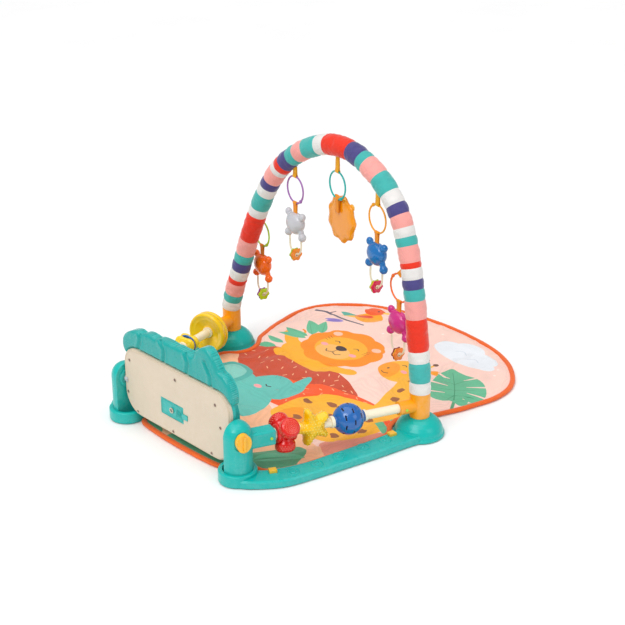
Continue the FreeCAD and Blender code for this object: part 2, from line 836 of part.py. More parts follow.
def sleeve_ribbon(toy, centre, place):
    """Loop round the top of the ring and a band up to the sleeve."""
    top = place * shift(0, 0, dims.link_rad)
    loop, hole = ribbon_loop(top)
    base = top.Base
    if toy in STEEP_TOYS:
        target = near_hoop(centre + Vec(0, 0, 44))[1]
    else:
        target = centre + Vec(0, 0, 120)
    direction = unit(target - base)
    level = place.Rotation.multVec(X_AXIS)
    across = level - direction * level.dot(direction)
    if across.Length < 0.6:
        across = Z_AXIS - direction * direction.z
    across = unit(across)
    normal = direction.cross(across)
    length = band_length(base, direction, across, normal)
    band = box("dims.ribbon_width", BAND_THICK, length - BAND_START,
               Place(base + direction * BAND_START, axes_rotation(across, normal, direction))
               * shift(-dims.ribbon_width / 2, -BAND_THICK / 2, 0))
    # room for the ring, also as it swings on the pink bear's slanting ribbon
    swings = (-35, -17.5, 0, 17.5, 35) if toy == "pink_bear" else (0,)
    rooms = [torus("dims.link_wire + 0.3", top * Place(Vec(0, 0, 0), Rot(X_AXIS, swing))
                   * Place(Vec(0, 0, -dims.link_rad), Rot(X_AXIS, 90)))
             for swing in swings]
    return cut(fuse(loop, band), fuse(hole, *rooms))


def toy_strap(place, y, drop, height):
    """Loop round the bottom of the ring and a tail that hangs from it."""
    bottom = place * shift(0, 0, -dims.link_rad)
    loop, hole = ribbon_loop(bottom)
    tail = box("dims.ribbon_width", BAND_THICK, height,
               bottom * shift(-dims.ribbon_width / 2, y, -drop))
    return cut(fuse(loop, tail), hole)


def lion(place):
    """Flat round face with nine mane lobes."""
    strap = toy_strap(place, y=1.0, drop=20.9, height=18.0)
    y = LION_BACK + dims.lion_thick
    face = [upright_disc("dims.lion_rad", "dims.lion_thick", place, 0, y, -LION_DROP)]
    for k in range(9):
        angle = math.radians(90 + 40 * k + 20)
        face.append(upright_disc("dims.lion_rad * 0.3", "dims.lion_thick", place,
                                 0.86 * dims.lion_rad * math.cos(angle), y,
                                 0.9 * dims.lion_rad * math.sin(angle) - LION_DROP))
    return group(fuse(*face), strap)


def bear(place):
    """Rounded body with two ears and two feet."""
    drop = BODY_DROP - dims.body_rad - 0.3 - dims.link_rad
    strap = toy_strap(place, y=-BAND_THICK / 2, drop=drop, height=drop - 2.8)
    profile = []
    for k in range(13):
        angle = math.radians(-90 + 15 * k)
        profile.append((dims.body_rad * math.cos(angle) if 0 < k < 12 else 0.0,
                        dims.body_half * math.sin(angle)))
    body = revolved(profile)
    body.Placement = place * Place(Vec(0, 0, -BODY_DROP), Rot(X_AXIS, -90))
    parts = [body]
    for side in (1, -1):
        parts.append(upright_disc("dims.ear_rad", 11.0, place, side * 18.0, 5.5, -46.5))
        parts.append(upright_disc("dims.paw_rad", 12.0, place, side * 17.0, 6.0, -77.5))
    return group(fuse(*parts), strap)


def bear_bow(place):
    """U-shaped wire under the feet."""
    x = dims.bow_rad
    path = Part.Wire([
        Part.makeLine(Vec(-x, 0, BOW_TOP), Vec(-x, 0, BOW_BEND)),
        Part.Arc(Vec(-x, 0, BOW_BEND), Vec(0, 0, BOW_BEND - x), Vec(x, 0, BOW_BEND)).toShape(),
        Part.makeLine(Vec(x, 0, BOW_BEND), Vec(x, 0, BOW_TOP))])
    ring = Part.makeCircle(dims.bow_wire, Vec(-x, 0, BOW_TOP), Vec(0, 0, -1))
    bow = path.makePipe(Part.Face(Part.Wire(ring))).Solids[0]
    if bow.Volume < 0:
        bow.reverse()
    bow.Placement = place
    return solid(bow)


def bow_bead(place):
    centre = place * shift(0, 0, BOW_BEND - dims.bow_rad)
    return cut(cross_rod("dims.bow_bead_rad", dims.bow_bead_len, centre),
               cross_rod("dims.bow_bead_bore", dims.bow_bead_len + 2, centre))


ribbons = []
for toy, ring, x, y, z, turn in TOYS:
    centre = Vec(x, y, z)
    place = Place(centre, Rot(Z_AXIS, turn))
    piece(torus("dims.link_wire", place * Place(Vec(0, 0, 0), Rot(X_AXIS, 90))), ring)
    ribbons.append(sleeve_ribbon(toy, centre, place))
    if toy == "lion_toy":
        piece(lion(place), toy)
    else:
        piece(bear(place), toy)
        piece(bear_bow(place), toy.replace("bear", "hoop"))
        piece(bow_bead(place), toy.replace("bear", "bead"))
piece(group(*ribbons), "sleeve_ribbons")

# ---- piano -----------------------------------------------------------------------
BACK_Y = dims.post_y + dims.cover_back
SPLIT_Y = dims.post_y + dims.cover_split
FRONT_Y = dims.post_y + dims.shell_front
DOOR_X, DOOR_Z = -9.5, 63.5           # battery door centre
SPEAKER_X, SPEAKER_Z = 68.0, 118.0
SLIDER_X, SLIDER_Z = -70.0, 116.0     # volume slot centre
KEY_BOTTOM = 35.5
AXLE_INSET = 7.0                      # axle start, inside the shell's side
# (x, z) of the cover screws; the last one lies in the right side block
SCREWS = [(-117.0, 113.5), (-125.3, 54.0), (-101.5, 25.5), (1.0, 120.6),
          (98.0, 113.8), (86.0, 25.2), (-9.0, 25.2), (109.0, 78.7)]
# (x, z) of the crest: its upper edge from left to right, then its straight foot
CREST_TOP = [
    (-119.0, 113.0), (-126.5, 117.0), (-134.0, 122.0), (-138.8, 129.0), (-140.4, 139.0),
    (-137.0, 149.0), (-129.8, 156.5), (-119.0, 163.0), (-108.0, 167.0), (-98.0, 168.8),
    (-89.0, 167.2), (-80.0, 171.2), (-69.0, 173.0), (-58.0, 172.4), (-51.0, 171.4),
    (-43.0, 174.0), (-32.0, 175.2), (-18.0, 175.4), (-6.0, 174.2), (3.0, 175.4),
    (14.0, 174.8), (26.0, 175.2), (36.0, 173.2), (42.0, 173.0), (45.0, 180.0),
    (50.0, 187.0), (58.0, 193.0), (67.0, 196.8), (76.0, 197.2), (83.0, 193.0),
    (90.0, 185.0), (96.0, 177.2), (101.6, 169.0), (106.0, 166.4), (113.0, 164.6),
    (120.0, 159.6), (126.0, 153.0), (130.0, 145.0), (131.8, 135.0), (131.2, 126.5),
    (129.0, 121.0), (124.0, 117.6)]
CREST_FOOT = [(60.0, 124.0), (-60.0, 124.0)]


def rounded(half_width, low_radius, high_radius, inset, steps=7):
    """Upright (x, z) outline between shell bottom and top, with rounded corners."""
    half = half_width - inset
    bottom, top = dims.shell_bottom + inset, dims.shell_top - inset
    low, high = low_radius - inset, high_radius - inset
    points = []
    for x, z, radius, start in ((half - low, bottom + low, low, -90),
                                (half - high, top - high, high, 0),
                                (-half + high, top - high, high, 90),
                                (-half + low, bottom + low, low, 180)):
        for i in range(steps + 1):
            angle = math.radians(start + 90.0 * i / steps)
            points.append((x + radius * math.cos(angle), z + radius * math.sin(angle)))
    return points


def shell_outline(inset=0.0):
    return rounded(dims.shell_half, 38, 30, inset)


def house_outline(inset=0.0):
    return rounded(dims.house_half, 24, 48, inset)


def cut_axle_bores(shape, clearance):
    for side, _ in SIDES:
        start = Vec(side * (dims.shell_half - 8), dims.post_y, dims.pivot_z)
        shape = shape.cut(Part.makeCylinder(dims.axle_rad + clearance, 12, start,
                                            Vec(side, 0, 0)))
    return shape


def back_cover():
    """Dished plate with the battery door opening."""
    cover = slab(shell_outline(1.6), BACK_Y, BACK_Y + 1.6).fuse(
        slab(shell_outline(), BACK_Y + 1.6, SPLIT_Y - 0.1))
    cover = cover.cut(slab(shell_outline(2.4), BACK_Y + dims.wall, SPLIT_Y + 1))
    gap = 0.3
    cover = cover.cut(shape_box(dims.door_width + 2 * gap, 20, dims.door_height + 2 * gap,
                                DOOR_X - dims.door_width / 2 - gap, BACK_Y - 5,
                                DOOR_Z - dims.door_height / 2 - gap))
    for x, z in SCREWS:
        cover = cover.cut(y_cylinder(dims.screw_rad + 0.15, 14, x, BACK_Y - 1, z))
    return solid(cut_axle_bores(cover, 0.12).removeSplitter())


def hollow_front():
    """Flanged shell and key housing with two side blocks and the crest."""
    flange_y, wall = SPLIT_Y + dims.flange, dims.wall
    front = slab(shell_outline(), SPLIT_Y, flange_y)
    front = front.fuse(slab(house_outline(), SPLIT_Y, FRONT_Y - 2.5)).fuse(
        slab(house_outline(1.0), FRONT_Y - 2.5, FRONT_Y))
    front = front.cut(slab(shell_outline(wall), SPLIT_Y - 1, flange_y - wall))
    front = front.cut(slab(house_outline(wall), SPLIT_Y - 1, FRONT_Y - wall))
    block = 26.0
    for x in (dims.shell_half - block, -dims.shell_half):
        front = front.fuse(shape_box(block, 10.5, 25.6, x, SPLIT_Y, 62.0))
    crest = slab(smooth(CREST_TOP) + CREST_FOOT, dims.post_y, dims.post_y + dims.crest_y)
    return front.fuse(crest.cut(slab(house_outline(0.6), dims.post_y - 5, dims.post_y + 40)))


def cut_front_openings(front):
    """Key windows, speaker grille and volume slot."""
    width, height, gap = dims.key_width, dims.key_height, dims.key_gap
    for i in range(5):
        x = (i - 2) * dims.key_pitch
        front = front.cut(shape_box(width + 2 * gap, 12, height + 2 * gap + 0.8,
                                    x - width / 2 - gap, FRONT_Y - 8, KEY_BOTTOM - gap - 0.4))
    pitch = 4.4
    for i in range(-2, 3):
        for j in range(-2, 3):
            if i * i + j * j < 6:
                front = front.cut(y_cylinder(1.3, 10, SPEAKER_X + pitch * i, FRONT_Y - 6,
                                             SPEAKER_Z + pitch * j))
    return front.cut(shape_box(27.0, 8, 6.4, SLIDER_X - 13.5, FRONT_Y - 5, SLIDER_Z - 3.2))


def front_shell():
    front = cut_axle_bores(cut_front_openings(hollow_front()), 0.05)
    # screw bosses; those outside the key housing stay within the flange
    for x, z in SCREWS[:-1]:
        deep = x > -105 and (z < 34 or z > 103)
        length = (FRONT_Y - dims.wall - SPLIT_Y + 0.5) if deep else dims.flange - dims.wall + 0.3
        front = front.fuse(y_cylinder(3.8, length, x, SPLIT_Y + 0.4, z))
    for x, z in SCREWS:
        front = front.cut(y_cylinder(dims.screw_rad + 0.12, 5.2, x, SPLIT_Y - 1, z))
    return solid(front.removeSplitter())


def axle(side):
    return rod("dims.axle_rad", "dims.axle_end - dims.shell_half + %r" % AXLE_INSET,
               Vec(side * (dims.shell_half - AXLE_INSET), dims.post_y, dims.pivot_z),
               Vec(side, 0, 0))


def speaker():
    y = FRONT_Y - dims.wall - 0.4 - dims.speaker_len
    return rod("dims.speaker_rad", "dims.speaker_len", Vec(SPEAKER_X, y, SPEAKER_Z), Y_AXIS)


def circuit_board():
    board = padded_rectangle("dims.board_x", "dims.board_z", "dims.board_thick")
    board.Placement = Place(Vec(30.0, dims.post_y + 12.0, 117.5), Rot(X_AXIS, 90))
    return board


def battery_cell(z):
    start = Vec(DOOR_X - dims.cell_len / 2, BACK_Y + 3.4 + dims.cell_rad, z)
    return rod("dims.cell_rad", "dims.cell_len", start, X_AXIS)


def battery_door():
    """Plate with a screw hole and a finger tab at its +X edge."""
    door = padded_rectangle("dims.door_width", "dims.door_height", "dims.door_thick")
    sketch = new_sketch(door)
    draw_circle(sketch, "dims.screw_rad + 0.2")
    doc.recompute()
    hole = door.newObject("PartDesign::Pocket", "pocket")
    hole.Profile = sketch
    hole.Type = 1   # through all
    hole.Midplane = True
    door.Placement = Place(Vec(DOOR_X, BACK_Y + 0.1 + dims.door_thick, DOOR_Z),
                           Rot(X_AXIS, 90))
    edge, y, z = DOOR_X + dims.door_width / 2, BACK_Y - 1.4, DOOR_Z - 4.5
    return fuse(door, box(12.5, 1.2, 9.0, shift(edge - 1.0, y, z)),
                box(3.0, 3.0, 9.0, shift(edge - 3.2, y, z)))


def battery_screw():
    return fuse(rod("dims.screw_rad", 2.4, Vec(DOOR_X, BACK_Y - 0.3, DOOR_Z), Y_AXIS),
                rod("dims.screw_rad + 1.2", 0.7, Vec(DOOR_X, BACK_Y - 0.75, DOOR_Z), Y_AXIS))


def piano_key(x):
    """Block with its front face chamfered all round."""
    key = padded_rectangle("dims.key_width", "dims.key_height", "dims.key_depth")
    doc.recompute()
    block = key.Tip
    front_face = ["Face%d" % i for i, face in enumerate(block.Shape.Faces, 1)
                  if face.normalAt(0, 0).z > 0.9][-1]
    chamfer = key.newObject("PartDesign::Chamfer", "chamfer")
    chamfer.Base = (block, [front_face])
    chamfer.Size = 2.0
    key.Placement = Place(Vec(x, dims.post_y + 16.0, KEY_BOTTOM + dims.key_height / 2),
                          Rot(X_AXIS, -90))
    return key


def volume_slider():
    """Grip in the slot on a plate behind the wall."""
    grip = box(9.0, 5.2, 6.0, shift(SLIDER_X - 12.5, FRONT_Y - 2.4, SLIDER_Z - 3.0))
    plate = box(14.0, 2.06, 9.6,
                shift(SLIDER_X - 15.0, FRONT_Y - dims.wall - 2.2, SLIDER_Z - 4.8))
    return fuse(grip, plate)


piece(back_cover(), "piano_back_cover")
piece(front_shell(), "piano_front_shell")
piece(group(*[rod("dims.screw_rad", 10.4, Vec(x, BACK_Y - 0.2, z), Y_AXIS)
              for x, z in SCREWS]), "cover_screws")
piece(group(*[axle(side) for side, _ in SIDES]), "pivot_axles")
piece(speaker(), "speaker")
piece(circuit_board(), "circuit_board")
piece(group(*[battery_cell(DOOR_Z + 15.0 * k) for k in (-1, 0, 1)]), "battery_cells")
piece(battery_door(), "battery_door")
piece(battery_screw(), "battery_screw")
for i in range(5):
    piece(piano_key((i - 2) * dims.key_pitch), "piano_key_%d" % (i + 1))
piece(volume_slider(), "volume_slider")

# ---- check and export ------------------------------------------------------------
doc.recompute()
bad = ["%s (%s): %s" % (obj.Name, obj.Label, obj.State) for obj in doc.Objects
       if "Invalid" in obj.State or "Error" in obj.State]
for obj in PIECES:
    shape = obj.Shape
    if shape.isNull() or not shape.isValid() or len(shape.Solids) < 1:
        bad.append("shape of %s is not valid" % obj.Label)
if bad:
    raise SystemExit("\n".join(bad))

os.makedirs("parts", exist_ok=True)
for obj in PIECES:
    obj.Shape.exportStep("parts/%s.step" % obj.Label)
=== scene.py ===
"""Baby play gym: a printed mat, a cloth-covered hoop with hanging toys, a piano and toy bars.

The mat lies on the floor (z = 0) with its length along Y. The hoop spans it along X near y = 0.
The piano stands across the -Y end with its keys towards +Y, and two bars run from its posts to
the feet of the hoop. "Right" is +X. Shapes are written in millimetres and built in metres.
"""

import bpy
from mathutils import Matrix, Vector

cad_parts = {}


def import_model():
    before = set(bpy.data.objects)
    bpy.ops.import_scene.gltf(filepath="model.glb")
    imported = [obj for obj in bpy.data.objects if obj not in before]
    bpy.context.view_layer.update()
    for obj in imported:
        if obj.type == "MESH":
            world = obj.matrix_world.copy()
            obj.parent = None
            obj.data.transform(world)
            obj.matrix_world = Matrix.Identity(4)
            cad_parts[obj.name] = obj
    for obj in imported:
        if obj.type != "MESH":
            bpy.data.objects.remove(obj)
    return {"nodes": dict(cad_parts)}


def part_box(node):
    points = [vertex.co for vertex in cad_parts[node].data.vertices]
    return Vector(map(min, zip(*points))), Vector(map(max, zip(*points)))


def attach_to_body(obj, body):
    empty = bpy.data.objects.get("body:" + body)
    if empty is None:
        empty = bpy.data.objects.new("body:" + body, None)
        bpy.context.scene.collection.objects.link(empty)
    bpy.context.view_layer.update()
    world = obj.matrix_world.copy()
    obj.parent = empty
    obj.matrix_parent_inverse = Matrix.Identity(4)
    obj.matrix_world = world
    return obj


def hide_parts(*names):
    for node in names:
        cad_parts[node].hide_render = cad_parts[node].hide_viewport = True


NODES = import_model()["nodes"]

import random
from math import atan2, copysign, cos, exp, pi, radians, sin, tau

import bmesh
import bpy
import numpy as np
from mathutils import Matrix, Vector, noise
from mathutils.bvhtree import BVHTree
from mathutils.geometry import delaunay_2d_cdt

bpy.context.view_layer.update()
MM = 0.001
X, Y, Z = Vector((1, 0, 0)), Vector((0, 1, 0)), Vector((0, 0, 1))
scene = bpy.context.scene


# ------------------------------------------------------------------ objects
def srgb(*rgb):
    """Linear RGBA from sRGB values of 0 to 255."""
    return tuple(v / 255 / 12.92 if v / 255 <= 0.04045 else ((v / 255 + 0.055) / 1.055) ** 2.4
                 for v in rgb) + (1.0,)


def link(data, name):
    obj = bpy.data.objects.new(name, data)
    scene.collection.objects.link(obj)
    return obj


def paint(data, colours):
    """One colour per face, stored on the face corners."""
    layer = data.color_attributes.new("tint", "FLOAT_COLOR", "CORNER")
    values = np.ones((len(data.loops), 4), np.float32)
    for face in data.polygons:
        values[face.loop_start:face.loop_start + face.loop_total] = colours[face.index]
    layer.data.foreach_set("color", values.ravel())


def shade_smooth(data):
    data.polygons.foreach_set("use_smooth", [True] * len(data.polygons))


def mesh(name, verts, faces, materials, colours=None, face_materials=None, orient=True):
    """Smooth mesh object from millimetre points; orient turns all normals outwards."""
    data = bpy.data.meshes.new(name)
    data.from_pydata([(x * MM, y * MM, z * MM) for x, y, z in verts], [], faces)
    data.update()
    if colours is not None:
        paint(data, colours)
    for material in materials:
        data.materials.append(material)
    if face_materials is not None:
        data.polygons.foreach_set("material_index", face_materials)
    if orient:
        bm = bmesh.new()
        bm.from_mesh(data)
        bmesh.ops.recalc_face_normals(bm, faces=bm.faces)
        bm.to_mesh(data)
        bm.free()
    shade_smooth(data)
    data.update()
    return link(data, name)


def attach(obj, body, *nodes, slot=None):
    """Lets an object ride on a body, in place of the given CAD nodes."""
    if nodes:
        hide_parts(*nodes)
    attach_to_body(obj, body)


def bake(obj):
    """Applies the modifiers of an object."""
    graph = bpy.context.evaluated_depsgraph_get()
    graph.update()
    data = bpy.data.meshes.new_from_object(obj.evaluated_get(graph))
    old = obj.data
    obj.modifiers.clear()
    obj.data = data
    data.name = obj.name
    bpy.data.meshes.remove(old)


class Parts:
    """Collects closed pieces, each a (verts, faces) pair, into one mesh."""

    def __init__(self):
        self.verts, self.faces, self.colours = [], [], []

    def add(self, piece, colour=None, at=Matrix()):
        verts, faces = piece
        start = len(self.verts)
        self.verts += [at @ Vector(point) for point in verts]
        self.faces += [tuple(i + start for i in face) for face in faces]
        self.colours += [colour] * len(faces)
        return self

    def build(self, name, material):
        """Pieces are either all coloured or all plain."""
        colours = self.colours if self.colours[0] else None
        return mesh(name, self.verts, self.faces, [material], colours)


# ------------------------------------------------------------------ frames
def basis(origin, x, y, z):
    return Matrix(((x[0], y[0], z[0], origin[0]), (x[1], y[1], z[1], origin[1]),
                   (x[2], y[2], z[2], origin[2]), (0, 0, 0, 1)))


def frame_along(origin, z):
    """Frame whose z follows a direction that isn't upright; its x is level."""
    z = Vector(z).normalized()
    x = Z.cross(z)
    x.normalize()
    return basis(origin, x, z.cross(x), z)


def outward_frame(x, y, z):
    """Frame on the outer wall of the piano: local y up, local z towards -Y."""
    return basis(Vector((x, y, z)), X, Z, -Y)


def face_frame(x, y, z, side):
    """Spot on the +z (side 1) or -z (side -1) face of a local form."""
    return basis(Vector((x, y, side * z)), X, Y * side, Z * side)


# ------------------------------------------------------------------ solids
def turns(count):
    return [tau * k / count for k in range(count)]


def noise_at(x, y, z):
    return noise.noise(Vector((x, y, z)))


def ring_faces(rows, columns, closed=False, capped=False):
    faces = []
    for i in range(rows if closed else rows - 1):
        low, high = i * columns, (i + 1) % rows * columns
        for j in range(columns):
            k = (j + 1) % columns
            faces.append((low + j, low + k, high + k, high + j))
    if capped:
        faces.append(tuple(range(columns - 1, -1, -1)))
        faces.append(tuple(range((rows - 1) * columns, rows * columns)))
    return faces


def lathe(profile, sides, scale=lambda angle, radius: 1.0):
    """Closed loop of (radius, height) points turned about local Z; scale varies the radius."""
    verts = []
    for radius, height in profile:
        for a in turns(sides):
            k = scale(a, radius)
            verts.append((radius * k * cos(a), radius * k * sin(a), height))
    return verts, ring_faces(len(profile), sides, closed=True)


def ellipsoid(centre, radii, around, down):
    verts = []
    for i in range(1, down):
        tilt = pi * i / down
        for a in turns(around):
            verts.append(Vector((radii[0] * sin(tilt) * cos(a), radii[1] * sin(tilt) * sin(a),
                                 radii[2] * cos(tilt))))
    faces = ring_faces(down - 1, around)
    verts += [Vector((0, 0, radii[2])), Vector((0, 0, -radii[2]))]
    top, bottom = len(verts) - 2, len(verts) - 1
    last = (down - 2) * around
    for j in range(around):
        k = (j + 1) % around
        faces.append((top, j, k))
        faces.append((bottom, last + k, last + j))
    return [point + Vector(centre) for point in verts], faces


def sweep(path, normal, section, closed=False):
    """Carries (along normal, sideways) points on a path; section may be a function of the index."""
    verts = []
    count = len(path)
    for i, point in enumerate(path):
        before = path[i - 1] if closed or i else point
        after = path[(i + 1) % count] if closed or i < count - 1 else point
        tangent = (after - before).normalized()
        side = tangent.cross(normal).normalized()
        up = side.cross(tangent).normalized()
        outline = section(i) if callable(section) else section
        verts += [point + up * rise + side * shift for rise, shift in outline]
    return verts, ring_faces(count, len(outline), closed=closed, capped=not closed)


def disc_section(radius, sides, squash=1.0):
    return [(radius * squash * cos(a), radius * sin(a)) for a in turns(sides)]


def dome(radius, height, sides=10, steps=4):
    """Small raised dot on local z = 0, sunk 0.6 mm into the surface."""
    arc = [pi / 2 * k / steps for k in range(steps)]
    return lathe([(0.01 * radius, -0.6), (radius, -0.6)]
                 + [(radius * cos(a), height * sin(a)) for a in arc]
                 + [(radius * 0.02, height)], sides)


# ------------------------------------------------------------------ flat outlines
def catmull(points, closed, steps):
    """Smooth curve through the points."""
    result = []
    count = len(points)
    for i in range(count if closed else count - 1):
        start = points[i]
        before = points[i - 1] if closed or i else start
        end = points[(i + 1) % count]
        after = points[(i + 2) % count] if closed or i + 2 < count else end
        for k in range(steps):
            t = k / steps
            result.append(tuple(
                0.5 * ((2 * b) + (-a + c) * t + (2 * a - 5 * b + 4 * c - d) * t * t
                       + (-a + 3 * b - 3 * c + d) * t ** 3)
                for a, b, c, d in zip(before, start, end, after)))
    if not closed:
        result.append(tuple(points[-1]))
    return result


def resample(loop, step):
    """Evenly spaced points round a closed loop."""
    points = np.array(list(loop) + [loop[0]], float)
    run = np.concatenate([[0], np.cumsum(np.hypot(*np.diff(points, axis=0).T))])
    count = max(8, int(round(run[-1] / step)))
    return [(float(np.interp(t, run, points[:, 0])), float(np.interp(t, run, points[:, 1])))
            for t in np.linspace(0, run[-1], count, endpoint=False)]


def offset(loop, distance):
    """Moves a counter-clockwise loop inwards."""
    result = []
    for i, (x, y) in enumerate(loop):
        before, after = loop[i - 2], loop[(i + 2) % len(loop)]
        tangent = Vector((after[0] - before[0], after[1] - before[1])).normalized()
        result.append((x - tangent.y * distance, y + tangent.x * distance))
    return result


def rounded_box(half_width, low, high, low_radius, high_radius, inset=0.0):
    """Upright rounded rectangle centred on x = 0, as (x, z) points."""
    half_width, low, high = half_width - inset, low + inset, high - inset
    low_radius, high_radius = low_radius - inset, high_radius - inset
    points = []
    for x, z, radius, start in (
            (half_width - low_radius, low + low_radius, low_radius, -90),
            (half_width - high_radius, high - high_radius, high_radius, 0),
            (-half_width + high_radius, high - high_radius, high_radius, 90),
            (-half_width + low_radius, low + low_radius, low_radius, 180)):
        for i in range(11):
            a = radians(start + 90.0 * i / 10)
            points.append((x + radius * cos(a), z + radius * sin(a)))
    return points


def inside(outline, x, y):
    """Even-odd test of many points against a polygon."""
    outline = np.asarray(outline)
    result = np.zeros(len(x), bool)
    x0, y0 = outline[:, 0], outline[:, 1]
    for ax, ay, bx, by in zip(x0, y0, np.roll(x0, -1), np.roll(y0, -1)):
        if ay != by:
            result ^= ((ay > y) != (by > y)) & (x < (bx - ax) * (y - ay) / (by - ay) + ax)
    return result


def edge_distance(outline, x, y, closed=True):
    """Distance of many points to a polyline."""
    outline = np.asarray(outline, float)
    result = np.full(len(x), 1e9)
    count = len(outline)
    for i in range(count if closed else count - 1):
        start = outline[i]
        run = outline[(i + 1) % count] - start
        t = ((x - start[0]) * run[0] + (y - start[1]) * run[1]) / max(run @ run, 1e-12)
        t = np.clip(t, 0, 1)
        result = np.minimum(result, np.hypot(x - start[0] - t * run[0], y - start[1] - t * run[1]))
    return result


def flat_mesh(outline, grid, creases=()):
    """Triangles filling an outline, with jittered inner points on a triangular grid.

    Creases are (points, closed) polylines kept as edges.
    """
    points, edges = [], []
    for loop, closed in [(outline, True)] + list(creases):
        start, count = len(points), len(loop)
        points += [Vector((p[0], p[1])) for p in loop]
        edges += [(start + i, start + (i + 1) % count)
                  for i in range(count if closed else count - 1)]
    corners = np.asarray(outline)
    low, high = corners.min(0), corners.max(0)
    grid_x, grid_y = [], []
    draws = random.Random(5)
    jitter = 0.18
    row = 0
    y = low[1] + grid / 2
    while y < high[1]:
        x = low[0] + grid / 2 + (grid / 2 if row % 2 else 0)
        while x < high[0]:
            grid_x.append(x + draws.uniform(-jitter, jitter) * grid)
            grid_y.append(y + draws.uniform(-jitter, jitter) * grid)
            x += grid
        y += grid * 0.87
        row += 1
    x, y = np.array(grid_x), np.array(grid_y)
    keep = inside(outline, x, y)
    x, y = x[keep], y[keep]
    keep = edge_distance(outline, x, y) > grid * 0.45
    x, y = x[keep], y[keep]
    # drop grid points close to a crease point, in batches to save memory
    fixed = np.array([(p.x, p.y) for p in points])
    nearest = np.full(len(x), 1e9)
    for i in range(0, len(fixed), 400):
        batch = fixed[i:i + 400]
        nearest = np.minimum(nearest, np.sqrt(((x[:, None] - batch[None, :, 0]) ** 2
                                               + (y[:, None] - batch[None, :, 1]) ** 2).min(1)))
    keep = nearest > grid * 0.4
    points += [Vector(p) for p in zip(x[keep], y[keep])]
    verts, _, faces, *_ = delaunay_2d_cdt(points, edges, [], 0, 1e-4)
    verts = np.array([(p.x, p.y) for p in verts])
    faces = np.array([list(face) for face in faces if len(face) == 3])
    faces = faces[inside(outline, *verts[faces].mean(1).T)]
    used = np.unique(faces)
    renumber = -np.ones(len(verts), int)
    renumber[used] = np.arange(len(used))
    return verts[used], renumber[faces]


def close_sheet(triangles, count, collect=dict.fromkeys):
    """Faces of a top sheet, its copy `count` vertices later and the wall between them."""
    triangles = triangles.tolist()
    edges = collect([pair for a, b, c in triangles for pair in ((a, b), (b, c), (c, a))])
    return ([tuple(face) for face in triangles]
            + [(c + count, b + count, a + count) for a, b, c in triangles]
            + [(b, a, a + count, b + count) for a, b in edges if (b, a) not in edges])


def closed_puff(outline, grid, top, bottom, at=Matrix()):
    """Closed form over an outline; top and bottom give heights from (x, y, edge distance)."""
    points, triangles = flat_mesh(outline, grid)
    x, y = points[:, 0], points[:, 1]
    distance = edge_distance(outline, x, y)
    verts = [at @ Vector(point) for surface in (top, bottom)
             for point in zip(x, y, surface(x, y, distance))]
    return verts, close_sheet(triangles, len(points))


def bulge(height, width, base=0.0):
    """Surface that rises from its edge as a quarter ellipse of the given width."""
    return lambda x, y, distance: base + height * np.sqrt(
        np.clip(1 - (1 - np.minimum(distance / width, 1)) ** 2, 0, 1))


def level(height):
    return lambda x, y, distance: np.full(len(x), height)


# ------------------------------------------------------------------ materials
class Shader:
    """Principled material with short calls for its nodes."""

    def __init__(self, name):
        self.material = bpy.data.materials.new(name)
        self.material.use_nodes = True
        self.tree = self.material.node_tree
        self.coords = self.node("TexCoord").outputs["Object"]

    def feed(self, node, inputs):
        """Sets each input to a value, or links it to a socket."""
        for key, value in inputs.items():
            if isinstance(value, bpy.types.NodeSocket):
                self.tree.links.new(value, node.inputs[key])
            else:
                node.inputs[key].default_value = value

    def node(self, kind, inputs=None, **settings):
        node = self.tree.nodes.new("ShaderNode" + kind)
        for key, value in settings.items():
            setattr(node, key, value)
        self.feed(node, inputs or {})
        return node

    def surface(self, inputs):
        self.feed(self.tree.nodes["Principled BSDF"], inputs)

    def base(self, rgb):
        """Fixed colour, or the painted tint when rgb is None."""
        if rgb is None:
            return self.node("Attribute", attribute_name="tint").outputs["Color"]
        node = self.node("RGB")
        node.outputs[0].default_value = srgb(*rgb)
        return node.outputs[0]

    def noise(self, scale, detail=3.0, coords=None):
        return self.node("TexNoise", {"Scale": scale, "Detail": detail, "Roughness": 0.55,
                                      "Vector": coords or self.coords}).outputs["Fac"]

    def stretched(self, inputs, detail=2):
        """Noise on stretched coordinates."""
        mapping = self.node("Mapping", {"Vector": self.coords, **inputs})
        return self.noise(1.0, detail, mapping.outputs[0])

    def math(self, operation, first, second):
        return self.node("Math", {0: first, 1: second}, operation=operation).outputs[0]

    def remap(self, socket, source, target):
        return self.node("MapRange", {0: socket, 1: source[0], 2: source[1],
                                      3: target[0], 4: target[1]}).outputs[0]

    def mix(self, factor, first, second, blend="MIX"):
        return self.node("Mix", {0: factor, 6: first, 7: second}, data_type="RGBA",
                         blend_type=blend, clamp_factor=True).outputs[2]

    def multiply(self, first, second):
        return self.mix(1.0, first, second, "MULTIPLY")

    def bump(self, height, strength, distance, **normal):
        node = self.node("Bump", {"Strength": strength, "Distance": distance, "Height": height,
                                  **normal})
        self.surface({"Normal": node.outputs[0]})


